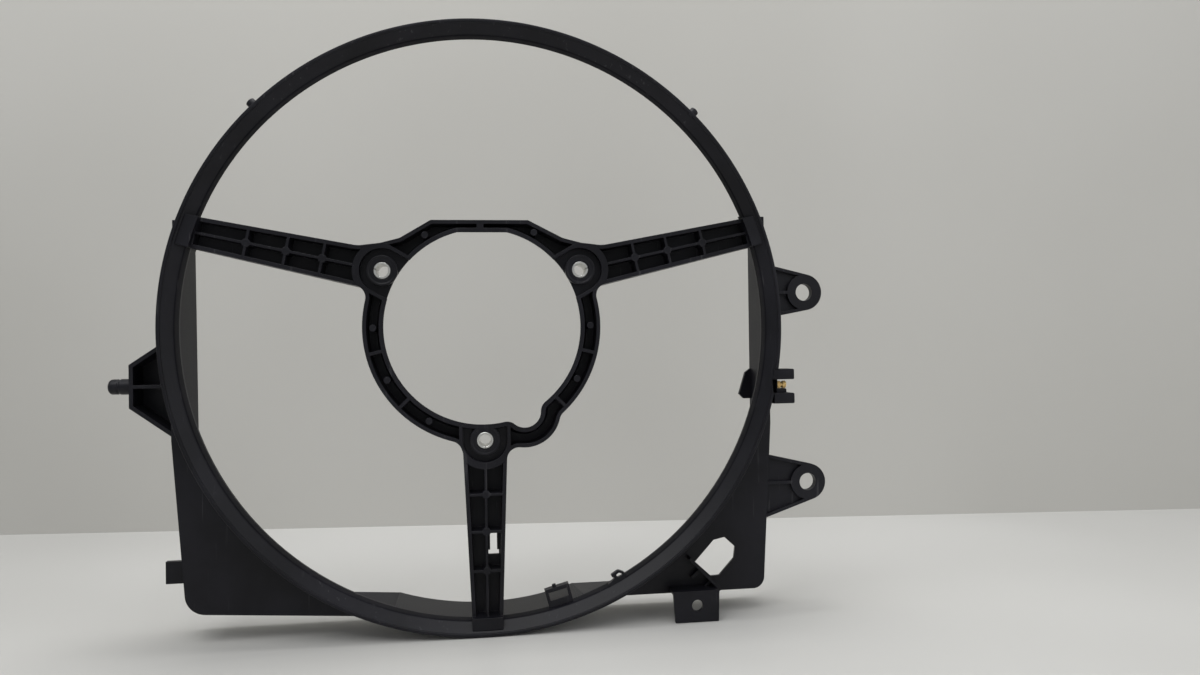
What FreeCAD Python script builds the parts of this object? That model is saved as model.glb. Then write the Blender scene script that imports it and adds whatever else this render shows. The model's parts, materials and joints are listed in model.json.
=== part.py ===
import FreeCAD, Part
import math
import os

# Radiator fan shroud of a car: a ring round the fan, three channelled spokes that carry the motor
# ring, and a shallow three-sided plenum behind the ring that closes against the radiator.
#
# Frame: millimetres. The origin is the centre of the motor bolt circle, in the plane of the motor
# seat. +X is right and +Z is up, seen from the engine. +Y runs along the fan axis, to the radiator.

# ---- fan ring -------------------------------------------------------------------------------
RING_OUTER_R = 201.0       # outside of the front lip
LIP_WIDTH = 2.2            # flat front of the lip
LIP_STEP = 1.2             # step from the lip down to the conical face
FACE_WIDTH = 6.7           # conical face, seen from the engine
FACE_DROP = 7.0            # depth of the conical face, from the front of the lip
THROAT_LENGTH = 8.4        # throat wall behind the conical face
COLLAR_DEPTH = 20.0        # outer wall of the ring, from the lip to the corner panels
COLLAR_DRAFT = 0.6         # the outer wall draws in by this much over its depth
RING_WALL = 2.4
SEAT_DEPTH = 10.0          # the motor seat lies this far behind the front of the lip
NUB_RADIUS = 2.4           # ejector nubs on the outside of the ring
NUB_PROUD = 3.4
NUB_DEPTH = 4.0            # from the front of the lip
NUB_ANGLES = (45.0, 135.0)

# ---- motor ring and bosses --------------------------------------------------------------------
BOLT_CIRCLE_R = 75.0
HOLE_GAP = 10.5            # from the edge of the motor hole out to the bolt circle
HOLE_FLAT_DROP = 2.1       # the top of the hole is cut off flat by this much
HOLE_DRAFT = 3.0           # the hole widens by this much towards the rear
MOTOR_RING_WIDTH = 13.5
RING_FLAT_DROP = 7.4       # the top of the motor ring is cut off flat by this much
RING_FLAT_END = {"left": 33.3, "right": 30.5}
SHOULDER = ((0.713, 0.783), (0.88, 0.74), (1.053, 0.72), (1.227, 0.732))   # shares of BOLT_CIRCLE_R
SHOULDER_ROOT = (0.4, 0.5)
CHANNEL_DEPTH = 18.4       # outside depth of the motor ring
CHANNEL_FLOOR = 2.4
CHANNEL_WALL = 2.5
HOLE_WALL = 3.0            # wall round the motor hole
FIRST_BOSS_ANGLE = 30.0
BOSS_PITCH = 120.0
BOSS_R = 16.3
BOSS_END_R = 19.1          # the spoke takes over on this circle round the boss
SPOKE_START = 14.4         # and nowhere nearer than this along the spoke
BOSS_HALF = 16.9           # dividing walls to the motor ring's channel, from the boss's middle line
RECESS_R = 14.6
BOSS_RECESS = 6.0          # depth of the recess round the seat disc
SEAT_DISC_R = 10.0
SEAT_DISC_SETBACK = 0.4    # the steel sleeve stands this far proud of the disc
SLEEVE_OUTER_R = 5.4
SLEEVE_BORE_R = 4.1
SLEEVE_SLOT = 0.6          # gap of the rolled sleeve
NOTCH_TURN = 25.0          # notch for the motor lead, this far round from the lower boss
NOTCH_INSET = 2.0          # its centre lies inside the edge of the hole
NOTCH_R = 10.7
NOTCH_CUSP_BLEND = 8.0
NOTCH_BULGE_R = 23.9
CONCAVE_BLEND = 8.0        # blends between the motor ring, the bosses and the spokes
CHANNEL_RIB = 2.2
CHANNEL_TOP_RIB = 4.6
TOP_RIB_ANGLE = 91.0
EJECTOR_PAD_R = 2.2
MOTOR_RIB_ANGLES = (193.0, 223.5, 315.0, 346.0)
MOTOR_PAD_ANGLES = (61.2, 121.5, 180.0, 208.5, 239.5, 330.0, 0.0)

# ---- spokes -----------------------------------------------------------------------------------
SPOKE_RISE = 12.0          # slope of the two upper spokes, degrees above the horizontal
SPOKE_TIP_WIDTH = 20.0     # at the ring
SPOKE_ROOT_WIDTH = {"left": 25.6, "right": 25.6, "lower": 28.0}
SPOKE_WALL = 2.6
SPOKE_RIB = 1.7
SPOKE_NODE_R = 2.7         # round pads where ribs cross
SPOKE_FLOOR = 2.4
PAD_SETBACK = 2.2          # flat pad over the conical face, behind the front of the lip
UPPER_RIB_SHARES = (0.321, 0.513, 0.720)  # cross ribs, between the boss centre and the throat
LOWER_RIB_SHARES = (0.305, 0.512, 0.730)
SLOT_WIDTH = 4.6           # slot for a cable tie in the lower spoke
SLOT_LENGTH = 15.6
SLOT_FOOT_WIDTH = 7.0
SLOT_FOOT_LENGTH = 3.0
SLOT_SHARE = 0.528         # its start, between the boss centre and the throat
SLOT_OFFSET = 4.6          # from the spoke's centre line

# ---- plenum; margins are measured from the ring's outer radius ---------------------------------
PLENUM_DEPTH = 36.0        # from the front of the corner panels to the rear rim
PANEL_WALL = 2.4
PANEL_GAP = 1.5            # the panels' round edge lies outside the throat
SIDE_TOP = {"left": 71.5, "right": 75.0}   # height of the side walls' upper ends
SIDE_TOP_STEP = 2.0        # the walls step out below their upper ends
SIDE_TOP_STEP_HEIGHT = 12.0
SIDE_STEP_SLOPE = 4.0
SIDE_KNEE = -70.0          # below this height the side walls lean inwards
SIDE_MARGIN = {"left": 2.0, "right": 2.4}
CORNER_MARGIN = {"left": (10.0, 19.6), "right": (9.6, 16.2)}   # across and up
CORNER_BLEND = {"left": 13.0, "right": 8.0}
BOTTOM_MARGIN = {"left": 11.0, "right": 16.2}
RIM_SIDE_MARGIN = {"left": 5.4, "right": 3.4}
RIM_KNEE_LEAN = 1.6
RIM_CORNER_MARGIN = {"left": 12.0, "right": 11.2}
RIM_BOTTOM_MARGIN = 14.6
WALL_SPLIT_RISE = 36.4     # bottom walls reach up to this height above the rim's lowest part

# ---- mounting features ------------------------------------------------------------------------
EAR_SETBACK = 7.0          # ears lie behind the front of the corner panels
EAR_THICKNESS = 6.0
EAR_FLOOR = 3.0
EAR_R = 12.9
EAR_BORE_R = 6.1
EAR_WALL = 2.2
EAR_OVERHANG = 29.2        # hole centre outside the right wall
EAR_Z = {"upper": 22.0, "lower": -113.2}
EAR_ROOT_UP = {"upper": 22.0, "lower": 21.5}
EAR_ROOT_DOWN = {"upper": 19.5, "lower": 25.5}
BRACKET_OVERHANG = 25.2    # outer wall of the peg bracket, outside the left wall
BRACKET_UP = 14.1          # its outer end, above and below the peg
BRACKET_DOWN = 13.6
BRACKET_SLOPE_UP = 17.1    # it is wider at its root
BRACKET_SLOPE_DOWN = 18.5
BRACKET_DEPTH = 20.0
BRACKET_WALL = 2.6
BRACKET_RIB = 2.2
PEG_Z = -35.2
PEG_R = 5.1
PEG_LENGTH = 15.3
PEG_TIP_BEVEL = 1.4
TAB_WIDTH = 16.0           # side tab on the left wall
TAB_THICKNESS = 4.0
TAB_HEIGHT = 14.4
TAB_OVERHANG = 8.2
TAB_CENTRE_Z = -157.0
TAB_SETBACK = 12.0
FOOT_WIDTH = 31.8
FOOT_HEIGHT = 20.8         # from the bottom of the ring up to the shelf
FOOT_INSET = 36.0          # its right side lies inside the panel's lower corner
FOOT_FRONT = 5.0           # front of the foot tab, behind the front of the lip
FOOT_THICKNESS = 2.6
FOOT_TAPER = 1.4
FOOT_HOLE_R = 3.8
FOOT_HOLE_INSET = 16.5     # from the left side of the foot
FOOT_HOLE_DROP = 9.8       # hole centre below the top of the shelf
FOOT_SHELF = 2.2
WINDOW_INSET = 32.8        # oblong window in the right corner panel, from its lower corner
WINDOW_RISE = 23.5
WINDOW_LENGTH = 26.2
WINDOW_WIDTH = 19.5
WINDOW_CLIP_LENGTH = 6.5   # clipped corners, along and across the window
WINDOW_CLIP_WIDTH = 4.6
WINDOW_FOOT_CLIP = 4.2
WINDOW_TURN = 47.0
GUSSET_WALL = 1.9
GUSSET_LEFT = 21.0         # slanting wall, from beside the window's centre
GUSSET_DROP = 20.3         # to below it
GUSSET_START_RISE = 2.1
GUSSET_RISE = 9.0
GUSSET_RIB_SHARES = (0.36, 0.72)
GUSSET_RIB_LENGTH = 9.0
FORK_CENTRE_Z = -43.55
FORK_HEIGHT = 23.5
FORK_OVERHANG = 13.4       # arms reach this far outside the ring, and this far over it
FORK_ROOT = 5.6
FORK_ARM = 7.1
FORK_FRONT = 2.0           # behind the front of the lip
FORK_DEPTH = 14.0
FORK_WEB = 3.0
INSERT_R = 2.6
INSERT_BORE_R = 1.5
INSERT_LENGTH = 6.4
INSERT_OUTSIDE = 3.4       # from the ring's outside
INSERT_PAD = 2.9
RIM_TAB_WIDTH = 10.0
RIM_TAB_HEIGHT = 22.7
RIM_TAB_TOP_Z = -31.6
RIM_TAB_BEVEL = 3.4
RIM_TAB_THICKNESS = 3.0
CLIP_ANGLE = -75.3         # wire clip on the throat edge
CLIP_WIDTH = 16.5
CLIP_REACH = 12.6
CLIP_BAR = 2.4
CLIP_POST = 2.0
CLIP_FRONT = 2.5           # behind the foot of the conical face
CLIP_DEPTH = 6.0
CLIP_PIN_R = 1.3
CLIP_PIN_LENGTH = 2.2
HOOK_ANGLE = -63.2
HOOK_WIDTH = 13.0
HOOK_HEIGHT = 3.0
HOOK_TOOTH = 6.6
HOOK_TOOTH_TIP = 5.9
HOOK_TOOTH_WIDTH = 4.5
HOOK_DEPTH = 4.0

# ---- worked out from the sizes above -------------------------------------------------------------
THROAT_R = RING_OUTER_R - LIP_WIDTH - FACE_WIDTH
PLENUM_INNER_R = THROAT_R + PANEL_GAP
MOTOR_HOLE_R = BOLT_CIRCLE_R - HOLE_GAP
MOTOR_RING_R = MOTOR_HOLE_R + MOTOR_RING_WIDTH
BOSS_ANGLES = {
    "left": FIRST_BOSS_ANGLE + BOSS_PITCH,
    "right": FIRST_BOSS_ANGLE,
    "lower": FIRST_BOSS_ANGLE + 2 * BOSS_PITCH,
}
SIDE_X = {side: RING_OUTER_R - margin for side, margin in SIDE_MARGIN.items()}
RIM_SIDE_X = {side: RING_OUTER_R - margin for side, margin in RIM_SIDE_MARGIN.items()}
RIM_BOTTOM_Z = RING_OUTER_R - RIM_BOTTOM_MARGIN
BULGE_X = math.sqrt((PLENUM_INNER_R + PANEL_WALL) ** 2 - RIM_BOTTOM_Z ** 2)
WALL_SPLIT_Z = WALL_SPLIT_RISE - RIM_BOTTOM_Z
EAR_X = SIDE_X["right"] + EAR_OVERHANG
BRACKET_X = SIDE_X["left"] + BRACKET_OVERHANG
WINDOW_X = RING_OUTER_R - CORNER_MARGIN["right"][0] - WINDOW_INSET
WINDOW_Z = CORNER_MARGIN["right"][1] - RING_OUTER_R + WINDOW_RISE

LIP_Y = -SEAT_DEPTH
FACE_FOOT_Y = LIP_Y + FACE_DROP
THROAT_END_Y = FACE_FOOT_Y + THROAT_LENGTH
PANEL_Y = LIP_Y + COLLAR_DEPTH
PANEL_BACK_Y = PANEL_Y + PANEL_WALL
RIM_Y = PANEL_Y + PLENUM_DEPTH
COLLAR_REAR_R = RING_OUTER_R - COLLAR_DRAFT
REACH = 3.0 * RING_OUTER_R     # longer than the part, for cutting tools
SPARE = PANEL_WALL / 2         # by which cutting tools overrun a face

SHARP_CORNERS = 2              # kind of join in an offset
AXIS = FreeCAD.Vector(0, 1, 0)
ORIGIN = FreeCAD.Vector(0, 0, 0)


def at(x, z, y=0.0):
    """A point from its place seen from the engine and its depth."""
    return FreeCAD.Vector(x, y, z)


def polar(radius, angle, y=0.0):
    turn = math.radians(angle)
    return at(radius * math.cos(turn), radius * math.sin(turn), y)


def polygon(points, y=0.0):
    """Flat face in a plane across the fan axis."""
    corners = [at(x, z, y) for x, z in points]
    return Part.Face(Part.makePolygon(corners + corners[:1]))


def band(x_range, z_range, y=0.0):
    """Flat rectangle across the fan axis."""
    (x1, x2), (z1, z2) = x_range, z_range
    return polygon([(x1, z1), (x2, z1), (x2, z2), (x1, z2)], y)


def disc(radius, x=0.0, z=0.0, y=0.0):
    return Part.Face(Part.Wire(Part.makeCircle(radius, at(x, z, y), AXIS)))


def octagon(radius, x=0.0, z=0.0):
    """Small round pads have eight sides."""
    turns = [math.radians(45.0 * i) for i in range(8)]
    return polygon([(x + radius * math.cos(turn), z + radius * math.sin(turn)) for turn in turns])


def prism(face, depth):
    return face.extrude(AXIS * depth)


def cylinder(radius, y_front, y_back, x=0.0, z=0.0):
    return Part.makeCylinder(radius, y_back - y_front, at(x, z, y_front), AXIS)


def box(x_range, y_range, z_range):
    corner = FreeCAD.Vector(x_range[0], y_range[0], z_range[0])
    size = (x_range[1] - x_range[0], y_range[1] - y_range[0], z_range[1] - z_range[0])
    return Part.makeBox(*size, corner)


def revolved(profile):
    """Full turn of a closed profile given as radius and depth."""
    corners = [FreeCAD.Vector(radius, y, 0) for radius, y in profile]
    return Part.Face(Part.makePolygon(corners + corners[:1])).revolve(ORIGIN, AXIS, 360)


def joined(first, *others):
    return first.fuse(list(others)).removeSplitter()


def plan_union(*faces):
    """One flat face from several that overlap in the same plane."""
    slab = joined(*[prism(face, 1.0) for face in faces])
    front = slab.BoundBox.YMin
    return min(slab.Faces, key=lambda face: abs(face.BoundBox.YMax - front))


def mirrored_x(points):
    return [(-x, z) for x, z in points]


def wedge(angle_from, angle_to, y_from, y_to):
    """Sector of a long cylinder, between two angles seen from the engine."""
    steps = max(2, math.ceil((angle_to - angle_from) / 60.0) + 1)
    angles = [angle_from + (angle_to - angle_from) * i / (steps - 1) for i in range(steps)]
    corners = [at(0, 0, y_from)] + [polar(REACH, a, y_from) for a in angles]
    return prism(Part.Face(Part.makePolygon(corners + corners[:1])), y_to - y_from)


# ---- fan ring -------------------------------------------------------------------------------

def ring_body():
    """U section, open to the rear: lip, conical face, throat and outer collar."""
    face_top_r = RING_OUTER_R - LIP_WIDTH
    face_top_y = LIP_Y + LIP_STEP
    slope = math.atan2(FACE_FOOT_Y - face_top_y, face_top_r - THROAT_R)
    collar_inner_r = COLLAR_REAR_R - RING_WALL
    throat_outer_r = THROAT_R + RING_WALL
    drop = RING_WALL / math.cos(slope)
    cone_y = face_top_y + (face_top_r - throat_outer_r) * math.tan(slope) + drop
    cone_top_y = face_top_y + (face_top_r - collar_inner_r) * math.tan(slope) + drop
    return revolved([
        (RING_OUTER_R, LIP_Y),
        (face_top_r, LIP_Y),
        (face_top_r, face_top_y),
        (THROAT_R, FACE_FOOT_Y),
        (THROAT_R, THROAT_END_Y),
        (throat_outer_r, THROAT_END_Y),
        (throat_outer_r, cone_y),
        (collar_inner_r, cone_top_y),
        (collar_inner_r, PANEL_Y),
        (COLLAR_REAR_R, PANEL_Y),
    ])


def fan_space():
    """The space inside the ring, and on behind it to the rear rim."""
    face_top_r = RING_OUTER_R - LIP_WIDTH
    face_top_y = LIP_Y + LIP_STEP
    return revolved([
        (0, LIP_Y),
        (face_top_r, LIP_Y),
        (face_top_r, face_top_y),
        (THROAT_R, FACE_FOOT_Y),
        (THROAT_R, RIM_Y),
        (0, RIM_Y),
    ])


def ring_plug():
    """Everything within the outside of the collar."""
    return revolved([(0, LIP_Y), (RING_OUTER_R, LIP_Y), (COLLAR_REAR_R, PANEL_Y), (0, PANEL_Y)])


def ring_nub(angle):
    """Short pin that points outwards from the collar."""
    foot_r = COLLAR_REAR_R - RING_WALL
    pin = prism(octagon(NUB_RADIUS), RING_OUTER_R + NUB_PROUD - foot_r)
    pin.rotate(ORIGIN, at(1, 0), 90)
    pin.translate(at(0, foot_r, LIP_Y + NUB_DEPTH))
    pin.rotate(ORIGIN, AXIS, 90 - angle)
    return pin.cut(ring_plug())


# ---- motor ring, bosses and spokes ------------------------------------------------------------

def boss_centre(name):
    spot = polar(BOLT_CIRCLE_R, BOSS_ANGLES[name])
    return spot.x, spot.z


def spoke_angle(name):
    """Direction of a spoke as it leaves its boss."""
    return {"left": 180.0 - SPOKE_RISE, "right": SPOKE_RISE, "lower": 270.0}[name]


def spoke_reach(name):
    """Distance along the spoke from the boss centre to the foot of the conical face."""
    x, z = boss_centre(name)
    turn = math.radians(spoke_angle(name))
    along = x * math.cos(turn) + z * math.sin(turn)
    across = x * math.sin(turn) - z * math.cos(turn)
    return math.sqrt(THROAT_R ** 2 - across ** 2) - along


def along_spoke(name, shape):
    """Places a shape drawn along +X, with its start at the origin, on its spoke."""
    x, z = boss_centre(name)
    placed = shape.copy()
    placed.rotate(ORIGIN, AXIS, -spoke_angle(name))
    placed.translate(at(x, z))
    return placed


def spoke_plan(name):
    """Tapered outline of a spoke, past the ring at its outer end."""
    root, tip = SPOKE_ROOT_WIDTH[name], SPOKE_TIP_WIDTH
    reach = spoke_reach(name)
    end = reach + RING_OUTER_R - THROAT_R
    grow = (tip - root) / (reach - BOSS_END_R)
    half_start = (root - grow * BOSS_END_R) / 2
    half_end = (tip + grow * (end - reach)) / 2
    return polygon([(0, -half_start), (end, -half_end), (end, half_end), (0, half_start)])


def shoulder(side):
    """Slope from the flat top of the motor ring down over the upper boss to the spoke."""
    turn = -1 if side == "left" else 1
    top = (RING_FLAT_END[side], MOTOR_RING_R - RING_FLAT_DROP)
    slope = [(x * BOLT_CIRCLE_R, z * BOLT_CIRCLE_R) for x, z in SHOULDER]
    root_x, root_z = (share * BOLT_CIRCLE_R for share in SHOULDER_ROOT)
    points = [top] + slope + [(slope[-1][0], root_z), (root_x, root_z), (0, root_z), (0, top[1])]
    return [(turn * x, z) for x, z in points]


def motor_ring_plan():
    """Outline of the motor ring without its hole."""
    root_z = SHOULDER_ROOT[1] * BOLT_CIRCLE_R
    above = band((-REACH, REACH), (root_z, REACH))
    notch_at = polar(MOTOR_HOLE_R - NOTCH_INSET, BOSS_ANGLES["lower"] + NOTCH_TURN)
    bulge = disc(NOTCH_BULGE_R, notch_at.x, notch_at.z)
    shoulders = [polygon(shoulder(side)) for side in RING_FLAT_END]
    return plan_union(disc(MOTOR_RING_R).cut(above), bulge, *shoulders)


def motor_hole_plan():
    """The hole, flat at the top, with the notch for the lead."""
    top = MOTOR_HOLE_R - HOLE_FLAT_DROP
    above = band((-REACH, REACH), (top, REACH))
    notch_at = polar(MOTOR_HOLE_R - NOTCH_INSET, BOSS_ANGLES["lower"] + NOTCH_TURN)
    hole = plan_union(disc(MOTOR_HOLE_R).cut(above), disc(NOTCH_R, notch_at.x, notch_at.z))
    return hole.makeOffset2D(NOTCH_CUSP_BLEND).makeOffset2D(-NOTCH_CUSP_BLEND).Faces[0]


def hole_core(grow=0.0):
    """The hole as a body that widens to the rear, or with the wall round it."""
    hole = motor_hole_plan()
    front = hole.makeOffset2D(grow, SHARP_CORNERS).Faces[0] if grow else hole
    back = hole.makeOffset2D(grow + HOLE_DRAFT, SHARP_CORNERS).Faces[0]
    back.translate(AXIS * CHANNEL_DEPTH)
    return Part.makeLoft([front.OuterWire, back.OuterWire], True, True)


def spider_plan():
    """Motor ring, bosses and spokes in one outline, with its inner corners blended."""
    faces = [motor_ring_plan()]
    for name in BOSS_ANGLES:
        x, z = boss_centre(name)
        faces += [disc(BOSS_R, x, z), along_spoke(name, spoke_plan(name))]
    plan = plan_union(*faces)
    return plan.makeOffset2D(CONCAVE_BLEND).makeOffset2D(-CONCAVE_BLEND).Faces[0]


def channel_ribs():
    """Radial ribs and ejector pads in the channel of the motor ring."""
    parts = []
    widths = [(TOP_RIB_ANGLE, CHANNEL_TOP_RIB)] + [(angle, CHANNEL_RIB) for angle in MOTOR_RIB_ANGLES]
    for angle, width in widths:
        rib = band((0, REACH), (-width / 2, width / 2))
        rib.rotate(ORIGIN, AXIS, -angle)
        parts.append(rib)
    for angle in MOTOR_PAD_ANGLES:
        spot = polar((MOTOR_HOLE_R + MOTOR_RING_R) / 2, angle)
        parts.append(octagon(EJECTOR_PAD_R, spot.x, spot.z))
    return parts


def boss_strip(name, half, y_from, y_to, start=0.0, end=REACH):
    """Straight strip through a boss, square to the motor ring; its ends are radii."""
    strip = box((start, end), (y_from, y_to), (-half, half))
    strip.rotate(ORIGIN, AXIS, -BOSS_ANGLES[name])
    return strip


def spoke_zone(name):
    """Where a spoke takes over from its boss."""
    x, z = boss_centre(name)
    zone = along_spoke(name, box((SPOKE_START, REACH), (-REACH, REACH), (-REACH, REACH)))
    return zone.cut(cylinder(BOSS_END_R, -REACH, REACH, x, z))


def motor_ring_solid(plan):
    """The channel that joins the bosses, open to the front."""
    body = prism(plan, CHANNEL_DEPTH).cut(hole_core())
    pocket = plan.makeOffset2D(-CHANNEL_WALL).Faces[0]
    for rib in channel_ribs():
        pocket = pocket.cut(rib)
    hollow = prism(pocket, CHANNEL_DEPTH - CHANNEL_FLOOR).cut(hole_core(HOLE_WALL))
    for name in BOSS_ANGLES:
        hollow = hollow.cut(boss_strip(name, BOSS_HALF, -SPARE, CHANNEL_DEPTH)).cut(spoke_zone(name))
    return body.cut(hollow)


def boss(name, channel):
    """Block with a recess round a raised seat disc and a bore for the sleeve.

    The recess opens to the motor hole, but at the lower boss the hole keeps its wall.
    """
    x, z = boss_centre(name)
    block = channel.common(boss_strip(name, BOSS_HALF, 0, CHANNEL_DEPTH)).cut(spoke_zone(name))
    mouth = boss_strip(name, RECESS_R, 0, BOSS_RECESS, 0, BOLT_CIRCLE_R)
    recess = joined(cylinder(RECESS_R, 0, BOSS_RECESS, x, z), mouth)
    recess = recess.cut(cylinder(SEAT_DISC_R, SEAT_DISC_SETBACK, BOSS_RECESS, x, z))
    if name == "lower":
        recess = recess.cut(hole_core(HOLE_WALL))
    return block.cut(recess).cut(cylinder(SLEEVE_OUTER_R, 0, CHANNEL_DEPTH, x, z))


def sleeve(name):
    """Rolled steel compression sleeve, with its gap turned away from the fan axis."""
    x, z = boss_centre(name)
    tube = cylinder(SLEEVE_OUTER_R, 0, CHANNEL_DEPTH, x, z)
    tube = tube.cut(cylinder(SLEEVE_BORE_R, 0, CHANNEL_DEPTH, x, z))
    slot = box((0, 2 * SLEEVE_OUTER_R), (0, CHANNEL_DEPTH), (-SLEEVE_SLOT / 2, SLEEVE_SLOT / 2))
    return tube.cut(along_spoke(name, slot))


def spoke_side(name, y_root, y_tip, y_far):
    """Body between a sloping plane along the spoke and a far plane in front of it."""
    reach = spoke_reach(name)
    slope = (y_tip - y_root) / (reach - BOSS_END_R)
    y_at = lambda u: y_root + slope * (u - BOSS_END_R)
    end = reach + RING_OUTER_R
    places = [(0, y_far), (end, y_far), (end, y_at(end)), (0, y_at(0))]
    corners = [at(u, -REACH, y) for u, y in places]
    side = Part.Face(Part.makePolygon(corners + corners[:1])).extrude(FreeCAD.Vector(0, 0, 2 * REACH))
    return along_spoke(name, side)


def spoke_pocket(name, plan):
    """Plan of the hollows between the walls, the long rib and the cross ribs."""
    reach = spoke_reach(name)
    half = SPOKE_RIB / 2
    span = band((0, reach - SPOKE_WALL), (-REACH, REACH)).cut(disc(BOSS_END_R))
    span = span.cut(band((0, REACH), (-half, half)))
    for share in LOWER_RIB_SHARES if name == "lower" else UPPER_RIB_SHARES:
        step = share * reach
        cross = band((step - half, step + half), (-REACH, REACH))
        span = span.cut(cross).cut(octagon(SPOKE_NODE_R, step))
    return along_spoke(name, span).common(plan.makeOffset2D(-SPOKE_WALL))


def tie_slot():
    """Slot through the floor of the lower spoke, wider at its foot."""
    start = SLOT_SHARE * spoke_reach("lower")
    end = start + SLOT_LENGTH
    stem_half, foot_half = SLOT_WIDTH / 2, SLOT_FOOT_WIDTH / 2
    depth = (-REACH, REACH)
    stem = box((start, end), depth, (SLOT_OFFSET - stem_half, SLOT_OFFSET + stem_half))
    foot = box((end - SLOT_FOOT_LENGTH, end), depth, (SLOT_OFFSET - foot_half, SLOT_OFFSET + foot_half))
    return along_spoke("lower", joined(stem, foot))


def spoke(name, plan):
    """Tapered channel from the boss to the ring, with a flat pad over the ring's conical face."""
    front = spoke_side(name, 0, FACE_FOOT_Y, REACH)
    above_back = spoke_side(name, CHANNEL_DEPTH, PANEL_Y, -REACH)
    above_floor = spoke_side(name, CHANNEL_DEPTH - SPOKE_FLOOR, PANEL_Y - SPOKE_FLOOR, -REACH)
    column = prism(plan, 2 * REACH)
    column.translate(AXIS * -REACH)
    column = column.common(spoke_zone(name))
    body = column.common(front).common(above_back)
    pocket = prism(spoke_pocket(name, plan), 2 * REACH)
    pocket.translate(AXIS * -REACH)
    body = body.cut(pocket.common(above_floor))
    pad_y = LIP_Y + PAD_SETBACK
    pad = column.common(cylinder(RING_OUTER_R, pad_y, THROAT_END_Y))
    pad = pad.cut(cylinder(THROAT_R - SPOKE_WALL, pad_y, THROAT_END_Y))
    body = joined(body, pad).common(fan_space())
    if name == "lower":
        body = body.cut(tie_slot())
    return body


# ---- plenum -----------------------------------------------------------------------------------

def half_points(side, top, side_x, bottom_z, corner, lean, step):
    """Outside of one half of the plenum, from the bulge up to the top."""
    step_z = SIDE_TOP[side] - SIDE_TOP_STEP_HEIGHT
    return [
        (0, -bottom_z),
        (BULGE_X, -bottom_z),
        corner,
        (side_x, SIDE_KNEE),
        (side_x + lean, step_z - SIDE_STEP_SLOPE),
        (side_x + lean - step, step_z),
        (side_x + lean - step, top),
        (0, top),
    ]


def frame_points(side, top):
    """Outside of one half at the corner panels."""
    across, up = CORNER_MARGIN[side]
    corner = (RING_OUTER_R - across, up - RING_OUTER_R)
    bottom_z = RING_OUTER_R - BOTTOM_MARGIN[side]
    return half_points(side, top, SIDE_X[side], bottom_z, corner, 0.0, SIDE_TOP_STEP)


def rim_points(side, top):
    """Outside of the same half at the rear rim."""
    corner_x = RING_OUTER_R - RIM_CORNER_MARGIN[side]
    across, up = CORNER_MARGIN[side]
    slope = (up - BOTTOM_MARGIN[side]) / (RING_OUTER_R - across - BULGE_X)
    corner = (corner_x, slope * (corner_x - BULGE_X) - RIM_BOTTOM_Z)
    lean = RIM_KNEE_LEAN / 2
    return half_points(side, top, RIM_SIDE_X[side], RIM_BOTTOM_Z, corner, lean, SIDE_TOP_STEP / 2 + lean)


def blended(points, side, y, inset):
    """Wire of a half outline, moved inwards by a wall and with its lower corner rounded."""
    face = polygon(points, y)
    if inset:
        face = face.makeOffset2D(-inset, SHARP_CORNERS).Faces[0]
    corner_z = min(v.Z for v in face.Vertexes if v.X > BULGE_X + SPARE)
    reach = [v for v in face.Vertexes if v.X > BULGE_X + SPARE]
    spot = min(reach, key=lambda v: abs(v.Z - corner_z))
    radius = max(CORNER_BLEND[side] - inset, 1.0)
    wire = face.OuterWire
    corners = [v.Point for v in wire.OrderedVertexes]
    edges = []
    count = len(corners)
    for i, here in enumerate(corners):
        before, after = corners[i - 1], corners[(i + 1) % count]
        if (here - spot.Point).Length < 1e-6:
            back = (before - here).normalize()
            ahead = (after - here).normalize()
            half = back.getAngle(ahead) / 2
            run = radius / math.tan(half)
            middle = here + (back + ahead).normalize() * (radius / math.sin(half) - radius)
            edges.append(("arc", here + back * run, middle, here + ahead * run))
        else:
            edges.append(("point", here, here, here))
    parts = []
    for i, (kind, start, middle, end) in enumerate(edges):
        if kind == "arc":
            parts.append(Part.Arc(start, middle, end).toShape())
        following = edges[(i + 1) % count][1]
        parts.append(Part.LineSegment(end, following).toShape())
    return Part.Wire(parts)


def half_loft(side, inset=0.0):
    """Solid of one half of the plenum between the corner panel and the rear rim.

    With an inset it is the hollow, which runs out through the open top.
    """
    top = SIDE_TOP[side] + 2 * inset
    front = blended(frame_points(side, top), side, PANEL_Y, inset)
    back = blended(rim_points(side, top), side, RIM_Y, inset)
    solid = Part.makeLoft([front, back], True, True)
    return on_side(solid, side)


def on_side(shape, side):
    """Shapes are drawn on the right; the left one is turned over about the middle plane."""
    return shape.mirror(ORIGIN, FreeCAD.Vector(1, 0, 0)) if side == "left" else shape


def side_box(side, x_from, x_to, y_range, z_range):
    return on_side(box((x_from, x_to), y_range, z_range), side)


def round_core():
    return cylinder(PLENUM_INNER_R, LIP_Y, RIM_Y + SPARE)


def plenum_half(side):
    """Hollow half: the walls behind the corner panel, without the panel."""
    outside = half_loft(side)
    inside = half_loft(side, PANEL_WALL)
    middle = side_box(side, -SPARE, BULGE_X, (LIP_Y, RIM_Y + SPARE), (-REACH, REACH))
    behind = side_box(side, 0, REACH, (PANEL_BACK_Y, RIM_Y), (-REACH, REACH))
    return outside.cut(inside).cut(middle).common(behind).cut(round_core())


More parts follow.
